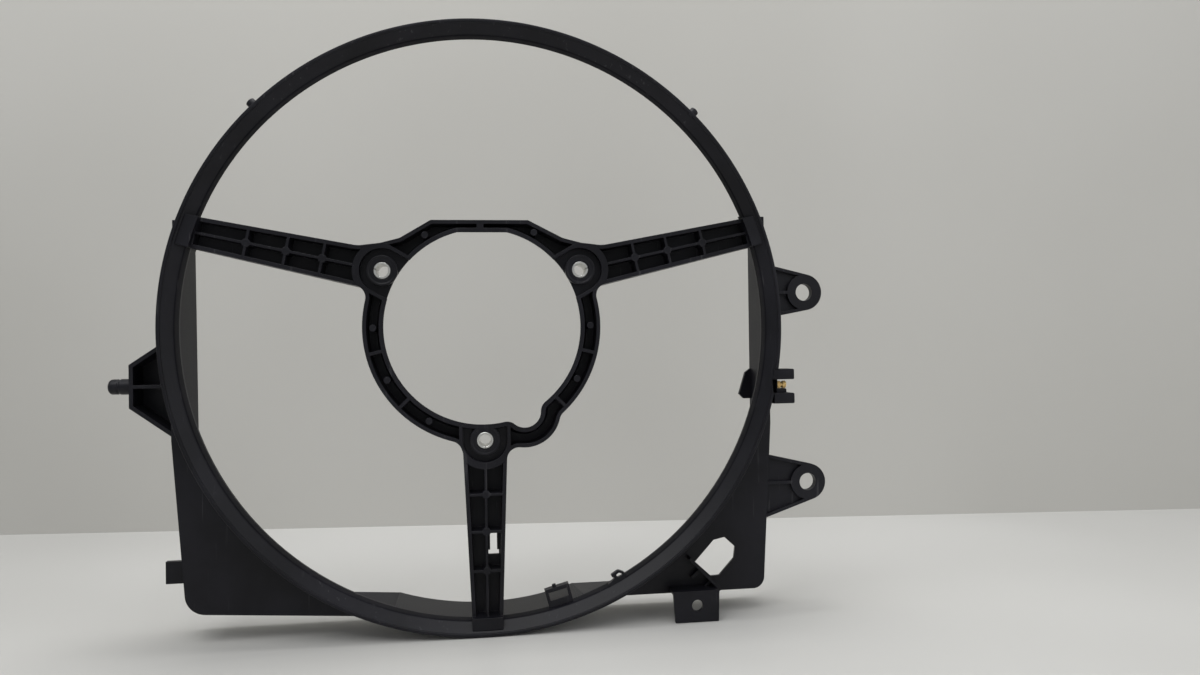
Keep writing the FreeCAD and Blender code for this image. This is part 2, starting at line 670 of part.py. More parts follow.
def corner_panel(side):
    """Flat panel between the ring and the walls, with its round edge under the ring's collar."""
    outline = half_loft(side).common(box((-REACH, REACH), (PANEL_Y, PANEL_BACK_Y), (-REACH, REACH)))
    skirt = cylinder(COLLAR_REAR_R, PANEL_Y, PANEL_BACK_Y)
    skirt = skirt.common(side_box(side, BULGE_X, REACH, (-REACH, REACH), (-REACH, SIDE_TOP[side])))
    panel = joined(outline, skirt).cut(cylinder(PLENUM_INNER_R, PANEL_Y, PANEL_BACK_Y))
    panel = panel.common(side_box(side, BULGE_X, REACH, (-REACH, REACH), (-REACH, SIDE_TOP[side])))
    if side == "right":
        panel = panel.cut(panel_window())
    return panel


def panel_window():
    """Oblong window with clipped corners, turned towards the ring."""
    half_l, half_w = WINDOW_LENGTH / 2, WINDOW_WIDTH / 2
    clip_l, clip_w, foot = WINDOW_CLIP_LENGTH, WINDOW_CLIP_WIDTH, WINDOW_FOOT_CLIP
    points = [
        (-half_l + foot, -half_w), (half_l - clip_l, -half_w), (half_l, -half_w + clip_w),
        (half_l, half_w - clip_w), (half_l - clip_l, half_w), (-half_l, half_w), (-half_l, -half_w + foot),
    ]
    plate = prism(polygon(points, PANEL_Y - SPARE), PANEL_WALL + 2 * SPARE)
    plate.rotate(ORIGIN, AXIS, -WINDOW_TURN)
    plate.translate(at(WINDOW_X, WINDOW_Z))
    return plate


def bottom_bulge():
    """Round part of the bottom wall, below the ring, with its flange under the collar."""
    outer = cylinder(PLENUM_INNER_R + PANEL_WALL, PANEL_BACK_Y, RIM_Y)
    flange = cylinder(COLLAR_REAR_R, PANEL_Y, PANEL_BACK_Y)
    shell = joined(outer, flange).cut(cylinder(PLENUM_INNER_R, PANEL_Y, RIM_Y))
    return shell.common(box((-BULGE_X, BULGE_X), (PANEL_Y, RIM_Y), (-REACH, 0)))


# ---- mounting features ------------------------------------------------------------------------

def envelope(side):
    """Everything inside the outer faces of one half, for seating what is fixed to it."""
    return half_loft(side)


def ear(name):
    """Lug with a pocketed web, two edge walls and a middle rib."""
    z = EAR_Z[name]
    y_front = PANEL_Y + EAR_SETBACK
    root_x = RIM_SIDE_X["right"] - 2 * PANEL_WALL
    root_top = z + EAR_ROOT_UP[name]
    root_low = z - EAR_ROOT_DOWN[name]
    lug = disc(EAR_R, EAR_X, z, y_front)
    tangent_up = tangent_point(root_x, root_top, EAR_X, z, EAR_R, 1)
    tangent_low = tangent_point(root_x, root_low, EAR_X, z, EAR_R, -1)
    web = polygon([(root_x, root_top), tangent_up, tangent_low, (root_x, root_low)], y_front)
    plan = plan_union(lug, web)
    body = prism(plan, EAR_THICKNESS)
    pocket = plan.makeOffset2D(-EAR_WALL).cut(disc(EAR_R - 0.5, EAR_X, z, y_front))
    rib_half = EAR_WALL / 2
    rib = band((root_x, EAR_X), (z - rib_half, z + rib_half), y_front)
    body = body.cut(prism(pocket.cut(rib), EAR_THICKNESS - EAR_FLOOR))
    body = body.cut(cylinder(EAR_BORE_R, y_front, y_front + EAR_THICKNESS, EAR_X, z))
    return body.cut(envelope("right"))


def tangent_point(px, pz, cx, cz, radius, turn):
    """Point where a line from (px, pz) touches a circle, on its upper or lower side."""
    reach = math.hypot(px - cx, pz - cz)
    towards = math.atan2(pz - cz, px - cx)
    angle = towards - turn * math.acos(radius / reach)
    return cx + radius * math.cos(angle), cz + radius * math.sin(angle)


def peg_bracket():
    """Open box on the left wall that carries the locating peg."""
    root_x = RIM_SIDE_X["left"] - 2 * PANEL_WALL
    widen = (BRACKET_X - root_x) / BRACKET_OVERHANG
    top, low = PEG_Z + BRACKET_UP, PEG_Z - BRACKET_DOWN
    points = [
        (-root_x, top + BRACKET_SLOPE_UP * widen), (-BRACKET_X, top),
        (-BRACKET_X, low), (-root_x, low - BRACKET_SLOPE_DOWN * widen),
    ]
    plan = polygon(points, PANEL_Y)
    body = prism(plan, BRACKET_DEPTH)
    pocket = plan.makeOffset2D(-BRACKET_WALL)
    half = BRACKET_RIB / 2
    rib = band((-BRACKET_X, 0), (PEG_Z - half, PEG_Z + half), PANEL_Y)
    body = body.cut(prism(pocket.cut(rib), BRACKET_DEPTH - BRACKET_WALL))
    return body.cut(envelope("left"))


def locating_peg():
    """Round peg that points outwards from the bracket."""
    y = PANEL_Y + BRACKET_DEPTH / 2
    start = at(-BRACKET_X, PEG_Z, y)
    outward = FreeCAD.Vector(-1, 0, 0)
    length = PEG_LENGTH - PEG_TIP_BEVEL
    stem = Part.makeCylinder(PEG_R, length, start, outward)
    tip = Part.makeCone(PEG_R, PEG_R - PEG_TIP_BEVEL, PEG_TIP_BEVEL, start + outward * length, outward)
    return joined(stem, tip)


def side_tab():
    """Small flat tab on the outside of the left wall."""
    outer_x = -SIDE_X["left"] - TAB_OVERHANG
    y = PANEL_Y + TAB_SETBACK
    z_range = (TAB_CENTRE_Z - TAB_HEIGHT / 2, TAB_CENTRE_Z + TAB_HEIGHT / 2)
    tab = box((outer_x, outer_x + TAB_WIDTH), (y, y + TAB_THICKNESS), z_range)
    return tab.cut(envelope("left"))


def foot_bracket():
    """Tab that stands below the right corner panel, its shelf and the gussets above it."""
    y_front = LIP_Y + FOOT_FRONT
    right = RING_OUTER_R - CORNER_MARGIN["right"][0] - FOOT_INSET
    left = right - FOOT_WIDTH
    top, bottom = FOOT_HEIGHT - RING_OUTER_R, -RING_OUTER_R
    points = [(left, top), (right, top), (right - FOOT_TAPER / 2, bottom), (left + FOOT_TAPER, bottom)]
    plate = prism(polygon(points, y_front), FOOT_THICKNESS)
    hole_x, hole_z = left + FOOT_HOLE_INSET, top - FOOT_HOLE_DROP
    hole = cylinder(FOOT_HOLE_R, y_front, y_front + FOOT_THICKNESS, hole_x, hole_z)
    shelf = box((left, right), (y_front, PANEL_Y), (top - FOOT_SHELF, top))
    gussets = [gusset_wall()] + [gusset_rib(share) for share in GUSSET_RIB_SHARES]
    return joined(plate.cut(hole), shelf, *gussets)


def gusset_frame():
    """Start, direction and length of the slanting wall."""
    x1, z1 = WINDOW_X - GUSSET_LEFT, WINDOW_Z + GUSSET_START_RISE
    run_x, run_z = GUSSET_LEFT, -GUSSET_DROP - GUSSET_START_RISE
    length = math.hypot(run_x, run_z)
    return x1, z1, run_x / length, run_z / length, length


def gusset_wall():
    """Slanting wall that stands on the panel, beside the window."""
    x1, z1, dx, dz, length = gusset_frame()
    side_x, side_z = dz * GUSSET_WALL, -dx * GUSSET_WALL
    x2, z2 = x1 + dx * length, z1 + dz * length
    points = [(x1, z1), (x2, z2), (x2 + side_x, z2 + side_z), (x1 + side_x, z1 + side_z)]
    return prism(polygon(points, PANEL_Y - GUSSET_RISE), GUSSET_RISE)


def gusset_rib(share):
    """Short rib square to the slanting wall, on its side towards the ring."""
    x1, z1, dx, dz, length = gusset_frame()
    x, z = x1 + dx * length * share, z1 + dz * length * share
    run_x, run_z = dz * GUSSET_RIB_LENGTH, -dx * GUSSET_RIB_LENGTH
    wide_x, wide_z = dx * GUSSET_WALL, dz * GUSSET_WALL
    far_x, far_z = x + run_x, z + run_z
    points = [(x, z), (x + wide_x, z + wide_z), (far_x + wide_x, far_z + wide_z), (far_x, far_z)]
    return prism(polygon(points, PANEL_Y - GUSSET_RISE / 2), GUSSET_RISE / 2)


def ring_edge_x():
    """The ring's outside at the height of the clip fork."""
    return math.sqrt(RING_OUTER_R ** 2 - FORK_CENTRE_Z ** 2)


def clip_fork():
    """Two arms across the ring, with a web between them that holds the threaded insert."""
    low, high = FORK_CENTRE_Z - FORK_HEIGHT / 2, FORK_CENTRE_Z + FORK_HEIGHT / 2
    edge_x = ring_edge_x()
    x_range = (edge_x - FORK_ROOT, edge_x + FORK_OVERHANG)
    y_front = LIP_Y + FORK_FRONT
    y_range = (y_front, y_front + FORK_DEPTH)
    insert_x = edge_x + INSERT_OUTSIDE
    upper = box(x_range, y_range, (high - FORK_ARM, high))
    lower = box(x_range, y_range, (low, low + FORK_ARM))
    web = box((insert_x - FORK_WEB, insert_x), y_range, (low, high))
    pad = box((insert_x, insert_x + INSERT_LENGTH), y_range, (low, insert_z() - INSERT_R / 2))
    return joined(upper, lower, web, pad).cut(insert_blank())


def insert_z():
    return FORK_CENTRE_Z - FORK_HEIGHT / 2 + FORK_ARM + INSERT_PAD + INSERT_R


def insert_blank(radius=INSERT_R):
    """Plain cylinder where the insert lies."""
    start = at(ring_edge_x() + INSERT_OUTSIDE, insert_z(), LIP_Y + FORK_FRONT + FORK_DEPTH / 2)
    return Part.makeCylinder(radius, INSERT_LENGTH, start, FreeCAD.Vector(1, 0, 0))


def brass_insert():
    """Threaded brass bush in a cradle between the arms."""
    return insert_blank().cut(insert_blank(INSERT_BORE_R))


def rim_tab():
    """Small tab on the right wall at the rear rim."""
    outer_x = RIM_SIDE_X["right"] - PANEL_WALL / 2
    inner_x = outer_x - RIM_TAB_WIDTH
    low_z = RIM_TAB_TOP_Z - RIM_TAB_HEIGHT
    points = [
        (outer_x, RIM_TAB_TOP_Z), (inner_x + RIM_TAB_WIDTH / 2, RIM_TAB_TOP_Z - RIM_TAB_BEVEL),
        (inner_x, low_z + RIM_TAB_BEVEL), (inner_x + RIM_TAB_BEVEL, low_z), (outer_x, low_z),
    ]
    return prism(polygon(points, RIM_Y - RIM_TAB_THICKNESS), RIM_TAB_THICKNESS).cut(plenum_half("right"))


def on_throat(shape, angle):
    """Places a shape drawn with +Z towards the fan axis and its foot at the throat."""
    placed = shape.copy()
    placed.translate(at(0, -THROAT_R))
    placed.rotate(ORIGIN, AXIS, -(angle + 90.0))
    return placed


def wire_clip():
    """Rectangular loop on the throat, with a small pin on its bar."""
    y_front = FACE_FOOT_Y + CLIP_FRONT
    y_range = (y_front, y_front + CLIP_DEPTH)
    half = CLIP_WIDTH / 2
    block = box((-half, half), y_range, (-RING_WALL, CLIP_REACH))
    mouth = box((-half + CLIP_POST, half - CLIP_POST), y_range, (CLIP_BAR * 2, CLIP_REACH - CLIP_BAR))
    pin = prism(octagon(CLIP_PIN_R), CLIP_PIN_LENGTH)
    pin.rotate(ORIGIN, at(1, 0), 90)
    pin.translate(at(-half / 6, CLIP_REACH, y_front + CLIP_PIN_R))
    return on_throat(joined(block.cut(mouth), pin), CLIP_ANGLE)


def cable_hook():
    """Low step on the throat with a hooked tooth."""
    y_range = (FACE_FOOT_Y, FACE_FOOT_Y + HOOK_DEPTH)
    half = HOOK_WIDTH / 2
    tooth = half - HOOK_TOOTH_WIDTH
    points = [
        (-half, -RING_WALL), (half, -RING_WALL), (half, HOOK_HEIGHT), (tooth, HOOK_TOOTH),
        (tooth - HOOK_TOOTH_WIDTH, HOOK_TOOTH_TIP), (tooth - HOOK_TOOTH_WIDTH / 2, HOOK_HEIGHT),
        (-half, HOOK_HEIGHT / 2),
    ]
    return on_throat(prism(polygon(points, y_range[0]), HOOK_DEPTH), HOOK_ANGLE)


# ---- the part ---------------------------------------------------------------------------------

def build():
    """All sub-parts by name. Neighbours of the moulding meet face to face."""
    nodes = {}
    ring = ring_body()
    fork = clip_fork()
    clip = wire_clip().common(fan_space())
    hook = cable_hook().common(fan_space())
    nodes["clip_fork"] = fork
    nodes["brass_insert"] = brass_insert()
    nodes["wire_clip"] = clip
    nodes["cable_hook"] = hook
    nodes["ring_nubs"] = Part.makeCompound([ring_nub(angle) for angle in NUB_ANGLES])

    plan = spider_plan()
    channel = motor_ring_solid(plan)
    arc_channel = channel
    for name in BOSS_ANGLES:
        nodes["boss_" + name] = boss(name, channel)
        nodes["sleeve_" + name] = sleeve(name)
        nodes["spoke_" + name] = spoke(name, plan)
        arc_channel = arc_channel.cut(boss_strip(name, BOSS_HALF, 0, CHANNEL_DEPTH)).cut(spoke_zone(name))
    for name, (start, end) in arcs_between(BOSS_ANGLES).items():
        nodes["motor_ring_" + name] = arc_channel.common(wedge(start, end, 0, CHANNEL_DEPTH))
    tips = {name: spoke_tip_angle(name) for name in BOSS_ANGLES}
    for name, (start, end) in arcs_between(tips).items():
        nodes["ring_" + name] = ring.cut(fork).common(wedge(start, end, LIP_Y, PANEL_Y))

    for side in ("left", "right"):
        walls = plenum_half(side)
        above = box((-REACH, REACH), (-REACH, REACH), (WALL_SPLIT_Z, REACH))
        nodes["side_wall_" + side] = walls.common(above)
        nodes["bottom_wall_" + side] = walls.cut(above)
        nodes["corner_panel_" + side] = corner_panel(side)
    nodes["bottom_bulge"] = bottom_bulge()
    for name in EAR_Z:
        nodes["ear_" + name] = ear(name)
    nodes["peg_bracket"] = peg_bracket()
    nodes["locating_peg"] = locating_peg()
    nodes["side_tab"] = side_tab()
    nodes["foot_bracket"] = foot_bracket()
    nodes["rim_tab"] = rim_tab()
    return nodes


def arcs_between(angles):
    """The three arcs that a left, a right and a lower angle part a ring into."""
    left, right, lower = angles["left"], angles["right"], angles["lower"]
    return {"top": (right, left), "left": (left, lower), "right": (lower - 360.0, right)}


def spoke_tip_angle(name):
    """Angle at which the centre line of a spoke meets the throat."""
    x, z = boss_centre(name)
    turn = math.radians(spoke_angle(name))
    reach = spoke_reach(name)
    return math.degrees(math.atan2(z + reach * math.sin(turn), x + reach * math.cos(turn))) % 360.0


def main():
    os.makedirs("parts", exist_ok=True)
    for name, shape in build().items():
        print(name, len(shape.Solids), shape.isValid(), round(shape.Volume, 1))
        shape.exportStep("parts/" + name + ".step")


main()
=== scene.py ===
import json
import logging
import math
from dataclasses import dataclass, field
from enum import Enum
from typing import Any, Dict, List, Optional, Sequence, Tuple

import bmesh
import bpy
from mathutils import Matrix, Vector


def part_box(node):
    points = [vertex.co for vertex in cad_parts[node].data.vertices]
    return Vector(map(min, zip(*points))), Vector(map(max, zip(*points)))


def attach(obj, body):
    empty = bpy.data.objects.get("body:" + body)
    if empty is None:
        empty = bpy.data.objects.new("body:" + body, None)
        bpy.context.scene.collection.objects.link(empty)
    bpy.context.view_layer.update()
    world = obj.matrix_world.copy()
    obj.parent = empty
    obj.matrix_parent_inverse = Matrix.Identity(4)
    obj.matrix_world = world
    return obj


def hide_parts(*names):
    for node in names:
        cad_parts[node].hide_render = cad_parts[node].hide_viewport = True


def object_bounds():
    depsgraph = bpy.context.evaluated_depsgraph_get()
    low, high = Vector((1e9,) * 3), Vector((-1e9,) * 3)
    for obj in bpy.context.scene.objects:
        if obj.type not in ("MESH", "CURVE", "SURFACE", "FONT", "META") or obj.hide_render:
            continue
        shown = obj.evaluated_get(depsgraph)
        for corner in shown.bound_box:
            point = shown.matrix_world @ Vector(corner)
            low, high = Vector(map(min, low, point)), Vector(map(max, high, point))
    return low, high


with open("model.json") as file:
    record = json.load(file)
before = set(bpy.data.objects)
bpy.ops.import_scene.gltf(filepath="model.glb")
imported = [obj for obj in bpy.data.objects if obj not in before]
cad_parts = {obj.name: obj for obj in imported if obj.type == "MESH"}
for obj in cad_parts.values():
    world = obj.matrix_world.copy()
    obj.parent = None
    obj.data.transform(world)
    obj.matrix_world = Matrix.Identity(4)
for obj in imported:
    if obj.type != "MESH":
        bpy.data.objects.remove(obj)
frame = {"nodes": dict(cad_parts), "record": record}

logging.basicConfig(level=logging.INFO, format="%(name)s: %(message)s")
log = logging.getLogger("fan_shroud")

CAD_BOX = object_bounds()
MM = 0.001
MERGE_SWEPT = 2e-7     # points of a swept piece closer than this, in metres, become one
MERGE_DRAWN = 1e-6     # and those of a flat, drawn piece
SHARP_ANGLE = 32.0     # edges sharper than this many degrees stay sharp

Colour = Tuple[float, float, float]
Point = Tuple[float, float, float]
Flat = Tuple[float, float]


def mm(x: float, y: float, z: float) -> Point:
    """A point given in millimetres, in metres."""
    return (x * MM, y * MM, z * MM)


def snap(value: float) -> float:
    """A length in millimetres, to a hundredth."""
    return round(value, 2)


def node_box(node: str) -> Tuple[Point, Point]:
    """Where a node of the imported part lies.

    Args:
        node: its name.

    Returns:
        Its lowest and its highest corner, in millimetres to a hundredth.
    """
    low, high = (tuple(snap(v / MM) for v in corner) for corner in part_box(node))
    return low, high


# ---- shader maths -----------------------------------------------------------------------------


class Wire:
    """A node's output socket that can be used in plain arithmetic."""

    def __init__(self, board: "Board", socket: Any) -> None:
        """Keeps the board and the socket.

        Args:
            board: the tree being built.
            socket: an output socket of one of its nodes.
        """
        self.board = board
        self.socket = socket

    def _maths(self, operation: str, first: Any, second: Any) -> "Wire":
        """Adds one Math node.

        Args:
            operation: the Math node's operation.
            first: a number or a Wire.
            second: a number or a Wire.

        Returns:
            The result.
        """
        return self.board.node("ShaderNodeMath", {"operation": operation}, {0: first, 1: second})

    def __add__(self, other: Any) -> "Wire":
        """Sum."""
        return self._maths("ADD", self, other)

    __radd__ = __add__

    def __mul__(self, other: Any) -> "Wire":
        """Product."""
        return self._maths("MULTIPLY", self, other)

    __rmul__ = __mul__

    def __sub__(self, other: Any) -> "Wire":
        """Difference."""
        return self._maths("SUBTRACT", self, other)

    def __rsub__(self, other: Any) -> "Wire":
        """Difference the other way round."""
        return self._maths("SUBTRACT", other, self)

    def band(self, low: float, high: float) -> "Wire":
        """Stretches the values between low and high to 0..1 and clips the rest.

        Args:
            low: becomes 0.
            high: becomes 1.

        Returns:
            The stretched value.
        """
        return self.board.node(
            "ShaderNodeMapRange",
            {"clamp": True, "interpolation_type": "SMOOTHSTEP"},
            {"Value": self, "From Min": low, "From Max": high, "To Min": 0.0, "To Max": 1.0},
        )


class Board:
    """A node tree to which one call adds any node."""

    def __init__(self, tree: bpy.types.NodeTree) -> None:
        """Keeps the tree.

        Args:
            tree: a shader tree or a Geometry Nodes tree.
        """
        self.tree = tree

    def node(self, kind: str, settings: Optional[Dict[str, Any]] = None,
             values: Optional[Dict[Any, Any]] = None, output: Any = 0) -> Wire:
        """Adds any node.

        Args:
            kind: the node's type.
            settings: attributes set before its sockets.
            values: numbers, colours or Wires by socket name or index.
            output: name or index of the output wanted.

        Returns:
            That output.
        """
        made = self.tree.nodes.new(kind)
        for key, value in (settings or {}).items():
            setattr(made, key, value)
        for key, value in (values or {}).items():
            if isinstance(value, Wire):
                self.tree.links.new(value.socket, made.inputs[key])
            else:
                made.inputs[key].default_value = value
        return Wire(self, made.outputs[output])


class Shader(Board):
    """One node material, built with a few typed calls."""

    def __init__(self, name: str) -> None:
        """Makes an empty material.

        Args:
            name: the material's name.
        """
        self.material = bpy.data.materials.new(name)
        self.material.use_nodes = True
        super().__init__(self.material.node_tree)
        self.tree.nodes.clear()
        self._coordinates: Optional[Wire] = None

    @property
    def place(self) -> Wire:
        """Object coordinates, shared by every pattern.

        Returns:
            The vector.
        """
        if self._coordinates is None:
            self._coordinates = self.node("ShaderNodeTexCoord", output="Object")
        return self._coordinates

    def stretched(self, scale: Point, turn: Point = (0.0, 0.0, 0.0)) -> Wire:
        """Object coordinates, scaled and turned.

        Args:
            scale: scale along each axis.
            turn: rotation in radians.

        Returns:
            The vector.
        """
        values = {"Vector": self.place, "Scale": scale, "Rotation": turn}
        return self.node("ShaderNodeMapping", {}, values)

    def noise(self, scale: float, detail: float = 2.0, rough: float = 0.5,
              at: Optional[Wire] = None) -> Wire:
        """Noise from 0 to 1.

        Args:
            scale: features per metre.
            detail: octaves.
            rough: weight of the finer octaves.
            at: vector to use instead of the object's place.

        Returns:
            The value.
        """
        values = {"Vector": at or self.place, "Scale": scale, "Detail": detail, "Roughness": rough}
        return self.node("ShaderNodeTexNoise", {"noise_dimensions": "3D"}, values, "Fac")

    def mix(self, factor: Any, first: Any, second: Any) -> Wire:
        """Blend of two colours.

        Args:
            factor: 0 gives the first.
            first: colour or Wire.
            second: colour or Wire.

        Returns:
            The colour.
        """
        def rgba(colour: Any) -> Any:
            """A colour with its alpha, or the Wire itself."""
            return colour if isinstance(colour, Wire) else (*colour, 1.0)

        values = {0: factor, 6: rgba(first), 7: rgba(second)}
        return self.node("ShaderNodeMix", {"data_type": "RGBA"}, values, 2)

    def bump(self, height: Wire, distance: float, strength: float,
             under: Optional[Wire] = None) -> Wire:
        """Normal from a height.

        Args:
            height: the height, 0 to 1.
            distance: metres that a height of 1 stands for.
            strength: weight of the bump.
            under: normal to build on.

        Returns:
            The normal.
        """
        values: Dict[Any, Any] = {"Height": height, "Distance": distance, "Strength": strength}
        if under is not None:
            values["Normal"] = under
        return self.node("ShaderNodeBump", {}, values)

    def close(self, values: Dict[Any, Any]) -> bpy.types.Material:
        """Ends the material in one Principled shader.

        Args:
            values: its sockets.

        Returns:
            The finished material.
        """
        surface = self.node("ShaderNodeBsdfPrincipled", {}, values)
        out = self.tree.nodes.new("ShaderNodeOutputMaterial")
        self.tree.links.new(surface.socket, out.inputs["Surface"])
        return self.material


class Growth(Board):
    """A Geometry Nodes tree with named sizes, grown once into a plain mesh."""

    def __init__(self, name: str) -> None:
        """Makes an empty tree.

        Args:
            name: the tree's name.
        """
        super().__init__(bpy.data.node_groups.new(name, "GeometryNodeTree"))
        self.tree.interface.new_socket("Geometry", in_out="OUTPUT", socket_type="NodeSocketGeometry")
        self.inlet = self.tree.nodes.new("NodeGroupInput")
        self.values: Dict[str, Any] = {}
        self.helpers: List[bpy.types.Object] = []

    def size(self, name: str, value: Any) -> Wire:
        """Adds one named size.

        Args:
            name: its name.
            value: a number; a whole number makes a whole-number input.

        Returns:
            The input.
        """
        kind = "NodeSocketInt" if isinstance(value, int) else "NodeSocketFloat"
        row = self.tree.interface.new_socket(name, in_out="INPUT", socket_type=kind)
        self.values[row.identifier] = value
        return Wire(self, self.inlet.outputs[name])

    def helper(self, data: Any) -> Wire:
        """Brings in a curve or points that are drawn in code.

        Args:
            data: a curve or a mesh.

        Returns:
            Its geometry.
        """
        obj = bpy.data.objects.new(data.name, data)
        bpy.context.scene.collection.objects.link(obj)
        self.helpers.append(obj)
        return self.node("GeometryNodeObjectInfo", {}, {"Object": obj}, "Geometry")

    def grow(self, name: str, shape: Wire, material: bpy.types.Material) -> bpy.types.Object:
        """Ends the tree and turns what it makes into a plain mesh.

        Args:
            name: the piece's name.
            shape: the geometry.
            material: its finish.

        Returns:
            The piece, with no modifier.
        """
        shape = self.node("GeometryNodeRealizeInstances", {}, {"Geometry": shape})
        shape = self.node("GeometryNodeMergeByDistance", {}, {
            "Geometry": shape, "Distance": MERGE_SWEPT,
        })
        shape = self.node("GeometryNodeSetMaterial", {}, {"Geometry": shape, "Material": material})
        out = self.tree.nodes.new("NodeGroupOutput")
        self.tree.links.new(shape.socket, out.inputs[0])
        obj = bpy.data.objects.new(name, bpy.data.meshes.new(name + "_seed"))
        bpy.context.scene.collection.objects.link(obj)
        growth = obj.modifiers.new("growth", "NODES")
        growth.node_group = self.tree
        for identifier, value in self.values.items():
            growth[identifier] = value
        harden(obj)
        for helper in self.helpers:
            bpy.data.objects.remove(helper)
        return obj


def harden(obj: bpy.types.Object) -> None:
    """Turns an object's evaluated shape into its own plain mesh, with its modifiers removed.

    Args:
        obj: the object.
    """
    graph = bpy.context.evaluated_depsgraph_get()
    mesh = bpy.data.meshes.new_from_object(obj.evaluated_get(graph), depsgraph=graph)
    obj.modifiers.clear()
    obj.data = mesh


# ---- drawing ----------------------------------------------------------------------------------


def rounded(corners: Sequence[Tuple[float, float, float]], steps: int = 5) -> List[Flat]:
    """Rounds the corners of a closed outline.

    Args:
        corners: x, y and the corner's radius, in order.
        steps: runs in each rounded corner.

    Returns:
        The outline's points.
    """
    points: List[Flat] = []
    count = len(corners)
    for i, (x, y, radius) in enumerate(corners):
        here = Vector((x, y))
        back = Vector(corners[i - 1][:2]) - here
        ahead = Vector(corners[(i + 1) % count][:2]) - here
        turn = math.pi - back.angle(ahead)
        if radius <= 0.0 or turn < 0.01:
            points.append((x, y))
            continue
        cut = min(radius * math.tan(turn / 2), 0.49 * back.length, 0.49 * ahead.length)
        start, end = here + back.normalized() * cut, here + ahead.normalized() * cut
        inward = (back.normalized() + ahead.normalized()).normalized()
        centre = here + inward * (cut / math.tan(turn / 2) / math.cos(turn / 2))
        first, last = start - centre, end - centre
        swing = first.angle_signed(last)
        for k in range(steps + 1):
            spoke = first.copy()
            spoke.rotate(Matrix.Rotation(-swing * k / steps, 2))
            points.append(tuple(centre + spoke))
    return points


def outline(name: str, points: Sequence[Flat], shift: float = 0.0) -> bpy.types.Curve:
    """A closed section, drawn anticlockwise.

    Args:
        name: its name.
        points: radius and depth in millimetres.
        shift: radius of the path that it is swept along.

    Returns:
        The curve.
    """
    following = list(points[1:]) + [points[0]]
    area = sum(a[0] * b[1] - b[0] * a[1] for a, b in zip(points, following))
    ordered = list(points) if area > 0 else list(reversed(points))
    curve = bpy.data.curves.new(name, "CURVE")
    curve.dimensions = "3D"
    spline = curve.splines.new("POLY")
    spline.points.add(len(ordered) - 1)
    for point, (radius, depth) in zip(spline.points, ordered):
        point.co = ((radius - shift) * MM, depth * MM, 0.0, 1.0)
    spline.use_cyclic_u = True
    return curve


def spots(name: str, places: Sequence["Seat"]) -> bpy.types.Mesh:
    """Loose points, each with the turn of what stands on it.

    Args:
        name: the mesh's name.
        places: where, and how it is turned.

    Returns:
        The points.
    """
    mesh = bpy.data.meshes.new(name)
    mesh.from_pydata([seat.where for seat in places], [], [])
    turns = mesh.attributes.new("turn", "FLOAT_VECTOR", "POINT")
    for row, seat in zip(turns.data, places):
        row.vector = seat.turn
    return mesh


def polar(radius: float, angle: float, y: float = 0.0) -> Point:
    """A point round the fan axis.

    Args:
        radius: millimetres.
        angle: degrees from +X towards +Z.
        y: depth in millimetres.

    Returns:
        The point in metres.
    """
    turn = math.radians(angle)
    return mm(radius * math.cos(turn), y, radius * math.sin(turn))


def facing(direction: Point) -> Point:
    """The turn that points a section's depth along a direction.

    Args:
        direction: the direction.

    Returns:
        Euler angles.
    """
    turn = Vector((0.0, 1.0, 0.0)).rotation_difference(Vector(direction)).to_euler()
    return (turn.x, turn.y, turn.z)


def plate(name: str, loops: Sequence[Sequence[Flat]], y_range: Flat, bevel: float) -> bpy.types.Object:
    """A flat plate cut from outlines in X and Z, with bevelled edges.

    Args:
        name: its name.
        loops: its outline, then its holes, in millimetres.
        y_range: front and back in millimetres.
        bevel: width of the bevel in millimetres.

    Returns:
        The plate.
    """
    curve = bpy.data.curves.new(name, "CURVE")
    curve.dimensions = "2D"
    curve.fill_mode = "BOTH"
    curve.extrude = ((y_range[1] - y_range[0]) / 2 - bevel) * MM
    curve.bevel_depth = bevel * MM
    curve.bevel_resolution = 2
    curve.offset = -bevel * MM
    for loop in loops:
        spline = curve.splines.new("POLY")
        spline.points.add(len(loop) - 1)
        for point, (x, z) in zip(spline.points, loop):
            point.co = (x * MM, z * MM, 0.0, 1.0)
        spline.use_cyclic_u = True
    drawn = bpy.data.objects.new(name + "_drawn", curve)
    bpy.context.scene.collection.objects.link(drawn)
    graph = bpy.context.evaluated_depsgraph_get()
    mesh = bpy.data.meshes.new_from_object(drawn.evaluated_get(graph), depsgraph=graph)
    bpy.data.objects.remove(drawn)
    middle = (y_range[0] + y_range[1]) / 2 * MM
    mesh.transform(Matrix.Translation((0.0, middle, 0.0)) @ Matrix.Rotation(math.pi / 2, 4, "X"))
    tidy = bmesh.new()
    tidy.from_mesh(mesh)
    bmesh.ops.remove_doubles(tidy, verts=tidy.verts, dist=MERGE_DRAWN)
    bmesh.ops.recalc_face_normals(tidy, faces=tidy.faces)
    tidy.to_mesh(mesh)
    tidy.free()
    obj = bpy.data.objects.new(name, mesh)
    bpy.context.scene.collection.objects.link(obj)
    return obj


@dataclass(frozen=True)
class Seat:
    """A place for one copy of a turned piece."""

    where: Point = (0.0, 0.0, 0.0)
    turn: Point = (0.0, 0.0, 0.0)


